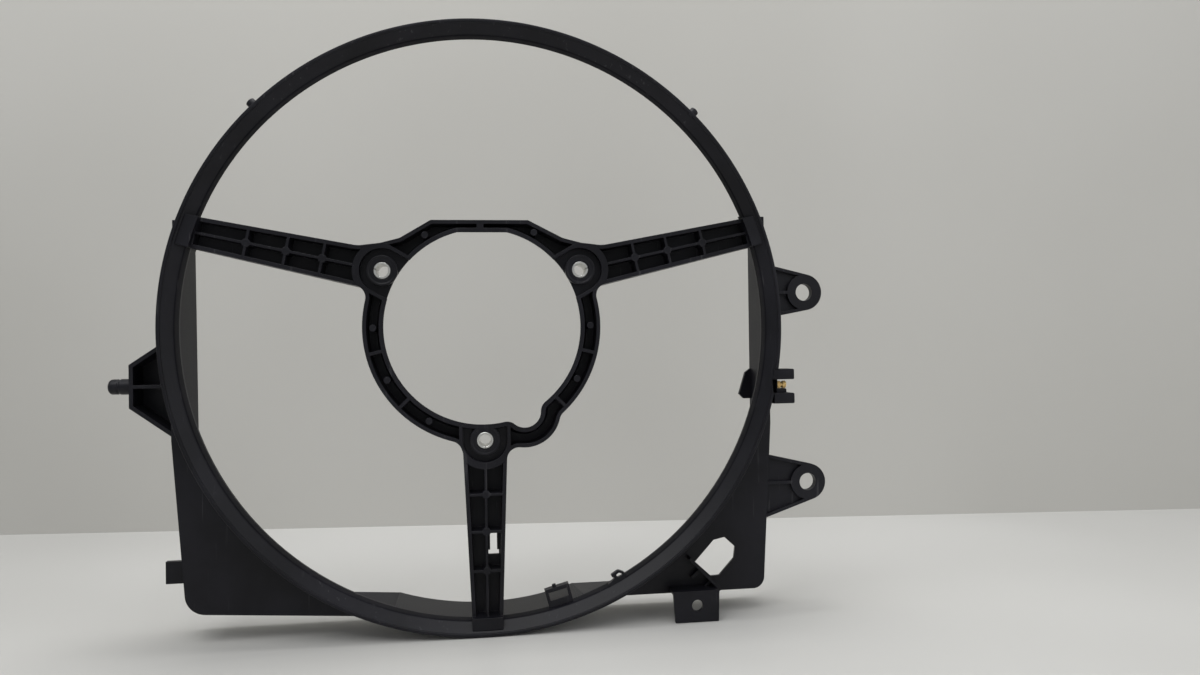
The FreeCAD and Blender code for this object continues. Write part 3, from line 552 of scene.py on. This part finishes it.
@dataclass
class Turned:
    """A section swept round an axis, and set on every one of its seats."""

    name: str
    section: Sequence[Flat]
    radius: float
    steps: int
    seats: Sequence[Seat] = (Seat(),)
    gap: float = 0.0

    def build(self, material: bpy.types.Material) -> bpy.types.Object:
        """Grows the piece.

        Args:
            material: its finish.

        Returns:
            The piece.
        """
        tree = Growth(self.name)
        radius = tree.size("Path radius", self.radius * MM)
        steps = tree.size("Steps", self.steps)
        if self.gap > 0.0:
            start = tree.size("Gap", math.radians(self.gap))
            path = tree.node("GeometryNodeCurveArc", {"mode": "RADIUS"}, {
                "Resolution": steps, "Radius": radius, "Start Angle": start * 0.5,
                "Sweep Angle": math.tau - start,
            })
        else:
            path = tree.node("GeometryNodeCurvePrimitiveCircle", {"mode": "RADIUS"}, {
                "Resolution": steps, "Radius": radius,
            })
        section = tree.helper(outline(self.name + "_section", self.section, self.radius))
        body = tree.node("GeometryNodeCurveToMesh", {}, {
            "Curve": path, "Profile Curve": section, "Fill Caps": self.gap > 0.0,
        })
        body = tree.node("GeometryNodeTransform", {}, {
            "Geometry": body, "Rotation": (math.pi / 2, 0.0, 0.0),
        })
        turn = tree.node("GeometryNodeInputNamedAttribute", {"data_type": "FLOAT_VECTOR"}, {
            "Name": "turn",
        })
        places = tree.helper(spots(self.name + "_seats", self.seats))
        points = tree.node("GeometryNodeMeshToPoints", {}, {"Mesh": places})
        copies = tree.node("GeometryNodeInstanceOnPoints", {}, {
            "Points": points, "Instance": body, "Rotation": turn,
        })
        return tree.grow(self.name, copies, material)


# ---- finishes ---------------------------------------------------------------------------------


@dataclass(frozen=True)
class MouldedPlastic:
    """Black glass-filled plastic: satin, faintly grained, dusty and scuffed."""

    name: str = "moulded_plastic"
    base: Colour = (0.0046, 0.0045, 0.0064)
    grey: Colour = (0.0104, 0.0102, 0.0140)
    dust: Colour = (0.075, 0.074, 0.078)
    roughness: float = 0.40
    gloss: float = 0.21
    grain: float = 2600.0
    edge_radius: float = 0.0006

    def build(self) -> bpy.types.Material:
        """Makes the material.

        Returns:
            The material.
        """
        shader = Shader(self.name)
        clouds = shader.noise(16.0, 4.0, 0.55)
        flow = shader.noise(60.0, 5.0, 0.6, shader.stretched((1.0, 1.0, 0.25)))
        fibres = shader.noise(900.0, 3.0, 0.7)
        fine = shader.noise(self.grain, 2.0, 0.6)
        specks = shader.noise(2200.0, 1.0, 0.5).band(0.70, 0.78)
        scratch = shader.noise(420.0, 2.0, 0.5, shader.stretched((1.0, 1.0, 0.045), (0.4, 0.5, 0.2)))
        scratch = scratch.band(0.655, 0.70) * clouds.band(0.42, 0.62)
        body = shader.mix(clouds.band(0.35, 0.68), self.base, self.grey)
        body = shader.mix(flow.band(0.52, 0.75) * 0.35, body, self.grey)
        body = shader.mix(specks * clouds.band(0.45, 0.7) * 0.5, body, self.dust)
        body = shader.mix(scratch * 0.35, body, self.dust)
        rough = self.roughness + (clouds - 0.5) * 0.18 + (fibres - 0.5) * 0.12 + scratch * 0.15
        edge = shader.node("ShaderNodeBevel", {"samples": 4}, {"Radius": self.edge_radius})
        normal = shader.bump(fibres, 0.00008, 0.5, edge)
        normal = shader.bump(fine, 0.00003, 0.45, normal)
        return shader.close({
            "Base Color": body,
            "Roughness": rough,
            "Normal": normal,
            "Specular IOR Level": self.gloss,
            "IOR": 1.5,
        })


@dataclass(frozen=True)
class PlatedSteel:
    """Rolled, zinc-plated steel."""

    name: str = "plated_steel"
    base: Colour = (0.66, 0.66, 0.63)
    stain: Colour = (0.36, 0.34, 0.31)

    def build(self) -> bpy.types.Material:
        """Makes the material.

        Returns:
            The material.
        """
        shader = Shader(self.name)
        clouds = shader.noise(420.0, 4.0, 0.6)
        rolled = shader.noise(900.0, 2.0, 0.5, shader.stretched((1.0, 0.12, 1.0)))
        colour = shader.mix(clouds.band(0.5, 0.75) * 0.6, self.base, self.stain)
        return shader.close({
            "Base Color": colour,
            "Metallic": 1.0,
            "Roughness": 0.26 + clouds * 0.14,
            "Normal": shader.bump(rolled, 0.00005, 0.35),
        })


@dataclass(frozen=True)
class TurnedBrass:
    """Turned brass, a little dulled."""

    name: str = "turned_brass"
    base: Colour = (0.90, 0.66, 0.30)
    dull: Colour = (0.52, 0.36, 0.15)

    def build(self) -> bpy.types.Material:
        """Makes the material.

        Returns:
            The material.
        """
        shader = Shader(self.name)
        clouds = shader.noise(700.0, 3.0, 0.6)
        turned = shader.noise(2400.0, 1.0, 0.5, shader.stretched((1.0, 0.1, 0.1)))
        return shader.close({
            "Base Color": shader.mix(clouds.band(0.45, 0.7) * 0.7, self.base, self.dull),
            "Metallic": 0.85,
            "Roughness": 0.38 + clouds * 0.2,
            "Normal": shader.bump(turned, 0.00004, 0.4),
        })


@dataclass(frozen=True)
class Backdrop:
    """Matt painted surface of the studio."""

    name: str
    base: Colour
    shade: Colour
    roughness: float = 0.7
    one_sided: bool = False

    def build(self) -> bpy.types.Material:
        """Makes the material.

        Returns:
            The material.
        """
        shader = Shader(self.name)
        clouds = shader.noise(1.6, 2.0, 0.5)
        values = {
            "Base Color": shader.mix(clouds.band(0.3, 0.75), self.base, self.shade),
            "Roughness": self.roughness,
            "Specular IOR Level": 0.25,
        }
        if self.one_sided:
            values["Alpha"] = 1.0 - shader.node("ShaderNodeNewGeometry", output="Backfacing")
        return shader.close(values)


# ---- the part ---------------------------------------------------------------------------------


class Slot(Enum):
    """The part's finishes, by the names that the record gives them."""

    PLASTIC = "plastic"
    STEEL = "steel"
    BRASS = "brass"


@dataclass
class Wardrobe:
    """All finishes of the part, made once."""

    materials: Dict[Slot, bpy.types.Material] = field(default_factory=dict)
    throat: Optional[bpy.types.Material] = None

    def fill(self) -> None:
        """Builds every finish."""
        self.throat = MouldedPlastic("matt_plastic", roughness=0.62, gloss=0.06).build()
        self.materials = {
            Slot.PLASTIC: MouldedPlastic().build(),
            Slot.STEEL: PlatedSteel().build(),
            Slot.BRASS: TurnedBrass().build(),
        }

    def dress(self, obj: bpy.types.Object, slot: Slot) -> None:
        """Puts one finish on a piece.

        Args:
            obj: the piece.
            slot: its finish.
        """
        obj.data.materials.clear()
        obj.data.materials.append(self.materials[slot])


@dataclass
class Moulding:
    """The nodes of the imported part, which keep their own solids."""

    wardrobe: Wardrobe

    def dress(self) -> None:
        """Gives each node the finish that the record names."""
        slots = {row["node"]: Slot(row["material_slot"]) for row in frame["record"]["subparts"]}
        for name, obj in frame["nodes"].items():
            self.wardrobe.dress(obj, slots[name])
        log.info("dressed %d nodes", len(frame["nodes"]))


@dataclass
class Fitting:
    """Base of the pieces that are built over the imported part."""

    wardrobe: Wardrobe

    def settle(self, obj: bpy.types.Object, slot: Slot, *nodes: str) -> None:
        """Gives a piece its finish, its body and the nodes that it stands for.

        Args:
            obj: the piece.
            slot: its finish.
            nodes: the nodes that it stands for.
        """
        self.wardrobe.dress(obj, slot)
        obj.data.shade_smooth()
        obj.data.set_sharp_from_angle(angle=math.radians(SHARP_ANGLE))
        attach(obj, "root")
        if nodes:
            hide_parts(*nodes)
        log.info("%s: %d faces", obj.name, len(obj.data.polygons))


@dataclass
class ClipFork(Fitting):
    """Two arms across the ring, the web between them and the threaded insert in its cradle."""

    root_step: float = 4.77        # the arms start at the ring's edge, this far past the node's own
    front_step: float = 1.2        # and stand this far in front of the node's own
    arm: float = 7.1
    corner: float = 0.9
    arm_bevel: float = 0.35
    web: float = 0.7
    web_step: float = 4.6          # the web is set back by this much from the node's front
    web_overlap: float = 0.4       # and runs into both arms by this much
    web_bevel: float = 0.2
    step_corner: float = 0.8
    recess: float = 1.2            # depth of the dark recess in the ring, between the arms
    spare: float = 1.0             # the cutter runs past the arms' ends by this much
    cutter_front: float = -12.0
    insert_radius: float = 2.6
    insert_gap: float = 0.05       # between the insert and the step that carries it
    bore: float = 1.5
    chamfer: float = 0.3
    ridge_height: float = 0.25
    ridge_inset: float = 0.27
    groove: float = 0.45
    groove_shares: Sequence[float] = (0.40, 0.44, 0.56, 0.60)
    ridges: int = 22
    ridge_share: float = 0.32      # length of a row of ridges, as a share of the insert
    ridge_margin: float = 0.35     # from the ends of the insert
    x_root: float = field(init=False)
    x_end: float = field(init=False)
    z_low: float = field(init=False)
    z_high: float = field(init=False)
    front: float = field(init=False)
    back: float = field(init=False)
    web_front: float = field(init=False)
    insert_x: float = field(init=False)
    insert_y: float = field(init=False)
    insert_z: float = field(init=False)
    insert_length: float = field(init=False)

    def __post_init__(self) -> None:
        """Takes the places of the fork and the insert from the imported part."""
        low, high = node_box("clip_fork")
        self.x_root, self.x_end = snap(low[0] + self.root_step), high[0]
        self.z_low, self.z_high = low[2], high[2]
        self.front, self.back = snap(low[1] - self.front_step), high[1]
        self.web_front = snap(low[1] + self.web_step)
        low, high = node_box("brass_insert")
        self.insert_x, self.insert_length = low[0], snap(high[0] - low[0])
        self.insert_y, self.insert_z = (snap((low[i] + high[i]) / 2) for i in (1, 2))

    def arms(self) -> List[List[Flat]]:
        """Outlines of the upper and the lower arm.

        Returns:
            Both outlines, X and Z in millimetres.
        """
        r = self.corner
        return [
            rounded([
                (self.x_root, low, 0.0), (self.x_end, low, r), (self.x_end, low + self.arm, r),
                (self.x_root, low + self.arm, 0.0),
            ], 3)
            for low in (self.z_low, self.z_high - self.arm)
        ]

    def cradle(self) -> List[Flat]:
        """Outline of the web between the arms and the step under the insert.

        Returns:
            X and Z in millimetres.
        """
        low = self.z_low + self.arm - self.web_overlap
        high = self.z_high - self.arm + self.web_overlap
        top = self.insert_z - self.insert_radius - self.insert_gap
        end = self.insert_x + self.insert_length
        return rounded([
            (self.insert_x - self.web, low, 0.0), (end, low, 0.0), (end, top, self.step_corner),
            (self.insert_x, top, 0.0), (self.insert_x, high, 0.0),
            (self.insert_x - self.web, high, 0.0),
        ], 3)

    def cutter(self) -> bpy.types.Object:
        """The space that the fork and the dark recess beside it take from the ring.

        Returns:
            A closed body.
        """
        low, high = self.z_low + self.arm, self.z_high - self.arm
        slot, far = self.x_root - self.recess, self.x_end + self.spare
        loop = [
            (self.x_root, self.z_low), (far, self.z_low), (far, self.z_high),
            (self.x_root, self.z_high), (self.x_root, high), (slot, high), (slot, low),
            (self.x_root, low),
        ]
        return plate("fork_cutter", [loop], (self.cutter_front, self.back), 0.0)

    def build(self) -> None:
        """Builds the fork and its insert."""
        fork = plate("clip_fork_moulded", self.arms(), (self.front, self.back), self.arm_bevel)
        web_range = (self.web_front, self.back)
        cradle = plate("cradle_drawn", [self.cradle()], web_range, self.web_bevel)
        whole = bmesh.new()
        whole.from_mesh(fork.data)
        whole.from_mesh(cradle.data)
        whole.to_mesh(fork.data)
        whole.free()
        bpy.data.objects.remove(cradle)
        self.settle(fork, Slot.PLASTIC, "clip_fork")
        self.settle(self.insert(), Slot.BRASS, "brass_insert")
        self.settle(self.knurl(), Slot.BRASS)

    def insert(self) -> bpy.types.Object:
        """Bored brass body with a groove round its middle.

        Returns:
            The body.
        """
        length, bore, cut = self.insert_length, self.bore, self.chamfer
        outer = self.insert_radius - self.ridge_height
        inner = outer - self.groove
        first, foot, head, last = (length * share for share in self.groove_shares)
        section = rounded([
            (bore, cut, 0.0), (bore + cut, 0.0, 0.0), (outer, 0.0, cut), (outer, first, 0.15),
            (inner, foot, 0.15), (inner, head, 0.15), (outer, last, 0.15), (outer, length, cut),
            (bore + cut, length, 0.0), (bore, length - cut, 0.0),
        ], 3)
        seat = Seat(mm(self.insert_x, self.insert_y, self.insert_z), facing((1.0, 0.0, 0.0)))
        brass = self.wardrobe.materials[Slot.BRASS]
        return Turned("insert_body", section, (outer + bore) / 2, 40, [seat]).build(brass)

    def knurl(self) -> bpy.types.Object:
        """Straight ridges round both ends of the insert.

        Returns:
            The ridges.
        """
        tree = Growth("insert_knurl")
        ridges = tree.size("Ridges", self.ridges)
        radius = tree.size("Insert radius", (self.insert_radius - self.ridge_inset) * MM)
        height = tree.size("Ridge height", self.ridge_height * MM)
        length = tree.size("Ridge length", self.insert_length * self.ridge_share * MM)
        stem = tree.node("GeometryNodeCurvePrimitiveLine", {}, {
            "End": tree.node("ShaderNodeCombineXYZ", {}, {"Z": length}),
        })
        section = tree.node("GeometryNodeCurvePrimitiveCircle", {}, {"Resolution": 6, "Radius": height})
        ridge = tree.node("GeometryNodeCurveToMesh", {}, {
            "Curve": stem, "Profile Curve": section, "Fill Caps": True,
        })
        spread = tree.node("GeometryNodeMeshCircle", {}, {"Vertices": ridges, "Radius": radius})
        row = tree.node("GeometryNodeInstanceOnPoints", {}, {"Points": spread, "Instance": ridge})
        near = self.tilted(tree, row, self.insert_x + self.ridge_margin)
        start = self.insert_length * (1.0 - self.ridge_share) - self.ridge_margin
        far = self.tilted(tree, row, self.insert_x + start)
        both = tree.node("GeometryNodeJoinGeometry", {}, {"Geometry": near})
        tree.tree.links.new(far.socket, both.socket.node.inputs["Geometry"])
        return tree.grow("insert_knurl", both, self.wardrobe.materials[Slot.BRASS])

    def tilted(self, tree: Growth, row: Wire, x: float) -> Wire:
        """Turns a row of ridges along X and sets it on the insert.

        Args:
            tree: the tree.
            row: ridges round the Z axis.
            x: where the row starts.

        Returns:
            The row in place.
        """
        return tree.node("GeometryNodeTransform", {}, {
            "Geometry": row, "Rotation": (0.0, math.pi / 2, 0.0),
            "Translation": mm(x, self.insert_y, self.insert_z),
        })


@dataclass
class FanRing(Fitting):
    """Lip, conical face, belled throat and collar, swept round the fan axis."""

    fork: ClipFork
    lip: float = 2.2
    lip_step: float = 1.2
    throat: float = 192.1
    face_foot: float = -3.0
    throat_end: float = 5.4
    wall: float = 2.4
    bell: float = 3.2              # radius between the conical face and the throat
    collar_wall: float = 3.0
    collar_draft: float = 0.6
    inside_foot: float = -1.90     # depths of the conical wall's inner side
    inside_head: float = -4.93
    path: float = 196.0
    steps: int = 320
    matt_width: float = 0.7        # faces this near the throat's radius are matt
    matt_start: float = 0.3        # from this far in front of the conical face's foot

    def section(self) -> List[Flat]:
        """The rounded section.

        Returns:
            Radius and depth in millimetres.
        """
        low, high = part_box("ring_top")
        outer, front, back = high[2] / MM, low[1] / MM, high[1] / MM
        face = outer - self.lip
        inside = self.throat + self.wall
        return rounded([
            (outer, front, 0.55), (face, front, 0.5), (face, front + self.lip_step, 0.6),
            (self.throat, self.face_foot, self.bell), (self.throat, self.throat_end, 0.9),
            (inside, self.throat_end, 0.9), (inside, self.inside_foot, 0.4),
            (outer - self.collar_wall, self.inside_head, 0.4),
            (outer - self.collar_wall, back, 0.0), (outer - self.collar_draft, back, 0.0),
        ], 6)

    def build(self) -> None:
        """Builds the ring and takes the fork's space from it."""
        plastic = self.wardrobe.materials[Slot.PLASTIC]
        ring = Turned("fan_ring", self.section(), self.path, self.steps).build(plastic)
        cutter = self.fork.cutter()
        cut = ring.modifiers.new("fork", "BOOLEAN")
        cut.operation, cut.solver, cut.object = "DIFFERENCE", "EXACT", cutter
        harden(ring)
        bpy.data.objects.remove(cutter)
        self.settle(ring, Slot.PLASTIC, "ring_top", "ring_left", "ring_right")
        self.matt_throat(ring.data)

    def matt_throat(self, mesh: bpy.types.Mesh) -> None:
        """Gives the throat band its own, matt finish.

        Args:
            mesh: the ring's mesh.
        """
        mesh.materials.append(self.wardrobe.throat)
        reach, start = self.throat + self.matt_width, self.face_foot - self.matt_start
        for face in mesh.polygons:
            radius = math.hypot(face.center.x, face.center.z) / MM
            face.material_index = int(radius < reach and face.center.y / MM > start)


@dataclass
class Spider(Fitting):
    """Compression sleeves, their seats, and the pins of the motor ring and the spokes."""

    bosses: Sequence[str] = ("left", "right", "lower")
    turns: Sequence[float] = (168.0, 12.0, 270.0)
    sleeve_outer: float = 5.4
    sleeve_bore: float = 4.1
    sleeve_slot: float = 0.6
    chamfer: float = 0.3
    dimple: float = 0.12           # the middle of a pin lies this far behind its rib
    rim: float = 0.04              # and its rim stands this far in front of it
    pin_radius: float = 2.32
    pin_length: float = 15.9
    pin_circle: float = 71.25
    pin_angles: Sequence[float] = (61.2, 121.5, 180.0, 208.5, 239.5, 330.0, 0.0)
    node_radius: float = 2.82
    node_length: float = 12.0
    node_shares: Sequence[Sequence[float]] = (
        (0.321, 0.513, 0.720), (0.321, 0.513, 0.720), (0.305, 0.512, 0.730),
    )                              # along each spoke, from the boss's centre to the throat
    reaches: Sequence[float] = (119.37, 119.37, 117.1)
    boss_end: float = 19.1
    tip_rise: float = 3.0          # the spokes' tips stand this far in front of their roots
    seat_radius: float = 10.0
    seat_gap: float = 0.08         # round the sleeve
    seat_edge: float = 0.04        # inside the seat disc's own edge
    seat_depth: float = 0.7

    def centre(self, name: str) -> Flat:
        """Middle of one boss, in millimetres."""
        low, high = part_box("sleeve_" + name)
        return ((low[0] + high[0]) / 2 / MM, (low[2] + high[2]) / 2 / MM)

    def sleeves(self) -> None:
        """Rolled steel sleeves with chamfered ends and an open seam."""
        outer, bore, cut = self.sleeve_outer, self.sleeve_bore, self.chamfer
        depth = node_box("sleeve_lower")[1][1]
        section = [
            (bore, cut), (bore + cut, 0.0), (outer - cut, 0.0), (outer, cut),
            (outer, depth - cut), (outer - cut, depth), (bore + cut, depth), (bore, depth - cut),
        ]
        seats = []
        for name, turn in zip(self.bosses, self.turns):
            x, z = self.centre(name)
            seats.append(Seat(mm(x, 0.0, z), (0.0, -math.radians(turn), 0.0)))
        middle = (outer + bore) / 2
        gap = math.degrees(2 * math.asin(self.sleeve_slot / 2 / middle))
        steel = self.wardrobe.materials[Slot.STEEL]
        obj = Turned("compression_sleeves", section, middle, 48, seats, gap).build(steel)
        self.settle(obj, Slot.STEEL, *("sleeve_" + name for name in self.bosses))

    def pin(self, radius: float, length: float) -> List[Flat]:
        """Section of a pin with a rounded rim round a shallow dimple.

        Args:
            radius: the pin's radius in millimetres.
            length: its length in millimetres.

        Returns:
            Radius and depth in millimetres.
        """
        return rounded([
            (0.0, self.dimple, 0.0), (radius * 0.55, self.dimple, 0.5), (radius * 0.7, -self.rim, 0.4),
            (radius, -self.rim, 0.45), (radius, length, 0.0), (0.0, length, 0.0),
        ], 3)

    def pins(self) -> None:
        """Ejector pins in the motor ring's channel and at the spokes' rib crossings."""
        plastic = self.wardrobe.materials[Slot.PLASTIC]
        seats = [Seat(polar(self.pin_circle, angle)) for angle in self.pin_angles]
        section = self.pin(self.pin_radius, self.pin_length)
        self.settle(Turned("channel_pins", section, 1.0, 20, seats).build(plastic), Slot.PLASTIC)
        seats = []
        spokes = zip(self.bosses, self.turns, self.node_shares, self.reaches)
        for name, turn, shares, reach in spokes:
            x, z = self.centre(name)
            for share in shares:
                along = share * reach
                y = -self.tip_rise * (along - self.boss_end) / (reach - self.boss_end)
                angle = math.radians(turn)
                seats.append(Seat(mm(x + along * math.cos(angle), y, z + along * math.sin(angle))))
        section = self.pin(self.node_radius, self.node_length)
        self.settle(Turned("spoke_pins", section, 1.2, 22, seats).build(plastic), Slot.PLASTIC)

    def seats(self) -> None:
        """Dished faces round the sleeves, each inside a low rounded bead."""
        inner, edge = self.sleeve_outer + self.seat_gap, self.seat_radius - self.seat_edge
        section = rounded([
            (inner, 0.40, 0.0), (self.sleeve_outer + 0.9, 0.20, 0.3), (8.1, 0.38, 0.8),
            (8.9, 0.02, 0.35), (edge, 0.02, 0.35), (edge, self.seat_depth, 0.0),
            (inner, self.seat_depth, 0.0),
        ], 4)
        places = [Seat(mm(x, 0.0, z)) for x, z in map(self.centre, self.bosses)]
        plastic = self.wardrobe.materials[Slot.PLASTIC]
        self.settle(Turned("seat_rings", section, 7.7, 64, places).build(plastic), Slot.PLASTIC)

    def build(self) -> None:
        """Builds the sleeves, their seats and the pins."""
        self.sleeves()
        self.seats()
        self.pins()


@dataclass
class Fixings(Fitting):
    """Nubs outside the ring, the locating peg and the cable hook."""

    nub_angles: Sequence[float] = (45.0, 135.0)
    nub_radius: float = 3.15
    nub_start: float = 198.4
    nub_end: float = 204.4
    nub_depth: float = -6.8
    peg_radius: float = 5.05
    peg_collar: float = 5.1
    peg_groove: float = 0.45
    hook_angle: float = -63.2
    hook_bevel: float = 0.35
    throat: float = 192.1

    def nubs(self) -> None:
        """Short round nubs with domed ends."""
        length = self.nub_end - self.nub_start
        section = rounded([
            (0.0, 0.0, 0.0), (self.nub_radius, 0.0, 0.0), (self.nub_radius - 0.15, length - 0.5, 0.7),
            (self.nub_radius * 0.6, length, 0.8), (0.0, length, 0.0),
        ], 4)
        seats = [
            Seat(polar(self.nub_start, angle, self.nub_depth), facing(polar(1.0, angle)))
            for angle in self.nub_angles
        ]
        plastic = self.wardrobe.materials[Slot.PLASTIC]
        obj = Turned("round_nubs", section, 1.2, 26, seats).build(plastic)
        self.settle(obj, Slot.PLASTIC, "ring_nubs")

    def peg(self) -> None:
        """Round peg with a shallow groove and a rounded tip."""
        low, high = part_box("locating_peg")
        length = (high[0] - low[0]) / MM
        radius = self.peg_radius
        waist = radius - self.peg_groove
        section = rounded([
            (0.0, 0.0, 0.0), (self.peg_collar, 0.0, 0.0), (self.peg_collar, length * 0.52, 0.3),
            (waist, length * 0.55, 0.3), (waist, length * 0.60, 0.3),
            (radius - 0.1, length * 0.63, 0.3), (radius - 0.15, length - 1.2, 1.8),
            (radius - 1.7, length, 1.2), (0.0, length, 0.0),
        ], 4)
        where = (high[0], (low[1] + high[1]) / 2, (low[2] + high[2]) / 2)
        seat = Seat(where, facing((-1.0, 0.0, 0.0)))
        plastic = self.wardrobe.materials[Slot.PLASTIC]
        obj = Turned("round_peg", section, 2.0, 40, [seat]).build(plastic)
        self.settle(obj, Slot.PLASTIC, "locating_peg")

    def hook(self) -> None:
        """Low step on the throat that ends in a rounded, hollow thumb."""
        step = rounded([
            (-6.5, -2.0, 0.0), (6.4, -2.0, 0.0), (6.4, 3.4, 1.2), (3.6, 6.5, 1.8), (-2.4, 6.0, 1.5),
            (-2.2, 4.2, 0.5), (-0.6, 3.0, 0.6), (-5.0, 1.6, 1.0), (-6.5, 1.4, 0.6),
        ], 4)
        eye = rounded([
            (1.2, 2.2, 0.8), (4.6, 2.0, 0.8), (4.4, 3.4, 1.0), (3.2, 4.9, 1.2), (0.4, 4.4, 0.9),
        ], 4)
        loops = [self.at_throat(step), self.at_throat(eye)]
        low, high = node_box("cable_hook")
        obj = plate("rounded_hook", loops, (low[1], high[1]), self.hook_bevel)
        self.settle(obj, Slot.PLASTIC, "cable_hook")

    def at_throat(self, points: Sequence[Flat]) -> List[Flat]:
        """Places an outline with its foot on the throat and its height towards the fan axis.

        Args:
            points: across and height, in millimetres.

        Returns:
            X and Z in millimetres.
        """
        turn = math.radians(self.hook_angle + 90.0)
        placed = []
        for across, height in points:
            level = height - self.throat
            placed.append((
                across * math.cos(turn) - level * math.sin(turn),
                across * math.sin(turn) + level * math.cos(turn),
            ))
        return placed

    def build(self) -> None:
        """Builds the nubs, the peg and the hook."""
        self.nubs()
        self.peg()
        self.hook()


# ---- studio -----------------------------------------------------------------------------------


@dataclass
class Studio:
    """Pale floor and wall, and soft light."""

    floor_drop: float = 0.0004     # the floor lies this far below the part
    wall_y: float = 0.362
    wall_turn: float = -6.5
    half_width: float = 2.4
    front: float = -2.2
    height: float = 2.2
    sky: Colour = (0.93, 0.96, 1.0)
    sky_strength: float = 0.40
    floor_paint: Backdrop = Backdrop("floor_white", (0.62, 0.615, 0.595), (0.52, 0.515, 0.495), 0.5)
    wall_paint: Backdrop = Backdrop("wall_grey", (0.54, 0.53, 0.50), (0.48, 0.47, 0.44), 0.8, True)

    def sheet(self, name: str, corners: Sequence[Point], finish: Backdrop) -> bpy.types.Object:
        """Makes one flat surface.

        Args:
            name: its name.
            corners: its corners in order.
            finish: its finish.

        Returns:
            The object.
        """
        mesh = bpy.data.meshes.new(name)
        mesh.from_pydata([Vector(c) for c in corners], [], [tuple(range(len(corners)))])
        mesh.materials.append(finish.build())
        obj = bpy.data.objects.new(name, mesh)
        bpy.context.scene.collection.objects.link(obj)
        return obj

    def build(self) -> None:
        """Builds the floor, the wall, the lamps and the world."""
        low = CAD_BOX[0][2] - self.floor_drop
        slope = math.tan(math.radians(self.wall_turn))
        left = (-self.half_width, self.wall_y - slope * self.half_width, low)
        right = (self.half_width, self.wall_y + slope * self.half_width, low)
        floor = self.sheet("floor", [
            (-self.half_width, self.front, low), (self.half_width, self.front, low),
            (self.half_width, -self.front, low), (-self.half_width, -self.front, low),
        ], self.floor_paint)
        wall = self.sheet("wall", [
            left, right, (right[0], right[1], self.height), (left[0], left[1], self.height),
        ], self.wall_paint)
        self.lamp("key", (-0.45, -0.8, 1.35), (0.0, 0.05, -0.05), (1.5, 1.1), 14.0)
        self.lamp("fill", (1.3, -1.1, 0.7), (0.0, 0.0, -0.05), (1.4, 1.4), 6.0)
        self.lamp("top", (0.0, 0.05, 1.5), (0.0, 0.0, 0.0), (0.8, 0.5), 11.0)
        world = bpy.data.worlds.new("studio_world")
        world.use_nodes = True
        background = world.node_tree.nodes["Background"]
        background.inputs["Color"].default_value = (*self.sky, 1.0)
        background.inputs["Strength"].default_value = self.sky_strength
        bpy.context.scene.world = world
        log.info("studio ready")

    def lamp(self, name: str, where: Point, aim: Point, size: Flat, power: float) -> None:
        """Adds one soft area lamp.

        Args:
            name: its name.
            where: its place.
            aim: the point it faces.
            size: width and height.
            power: watts.
        """
        data = bpy.data.lights.new(name, "AREA")
        data.shape = "RECTANGLE"
        data.size, data.size_y = size
        data.energy = power
        obj = bpy.data.objects.new(name, data)
        obj.location = where
        obj.rotation_euler = (Vector(aim) - Vector(where)).to_track_quat("-Z", "Y").to_euler()
        bpy.context.scene.collection.objects.link(obj)


@dataclass
class Viewpoint:
    """The camera, close in front of the part and turned a little to the right."""

    where: Point = mm(-1.5, -577.5, -16.5)
    turn: float = 7.8
    tilt: float = 0.8
    roll: float = -1.0
    lens: float = 26.01
    sensor: float = 36.0
    clip_start: float = 0.01

    def build(self) -> None:
        """Adds the camera and makes it the scene's own."""
        yaw, pitch, roll = (math.radians(v) for v in (self.turn, self.tilt, self.roll))
        ahead = Vector((
            math.sin(yaw) * math.cos(pitch), math.cos(yaw) * math.cos(pitch), math.sin(pitch),
        ))
        level = Vector((math.cos(yaw), -math.sin(yaw), 0.0))
        right = level * math.cos(roll) + level.cross(ahead) * math.sin(roll)
        up = right.cross(ahead)
        data = bpy.data.cameras.new("camera")
        data.lens = self.lens
        data.sensor_width = self.sensor
        data.clip_start = self.clip_start
        obj = bpy.data.objects.new("camera", data)
        axes = Matrix((right, up, -ahead)).transposed()
        obj.matrix_world = Matrix.Translation(Vector(self.where)) @ axes.to_4x4()
        bpy.context.scene.collection.objects.link(obj)
        bpy.context.scene.camera = obj
        log.info("camera ready")


def main() -> None:
    """Builds the dressed part and its studio."""
    wardrobe = Wardrobe()
    wardrobe.fill()
    Moulding(wardrobe).dress()
    fork = ClipFork(wardrobe)
    fork.build()
    FanRing(wardrobe, fork).build()
    Spider(wardrobe).build()
    Fixings(wardrobe).build()
    Studio().build()
    Viewpoint().build()
    bpy.context.scene.view_settings.view_transform = "Standard"


if __name__ == "__main__":
    main()
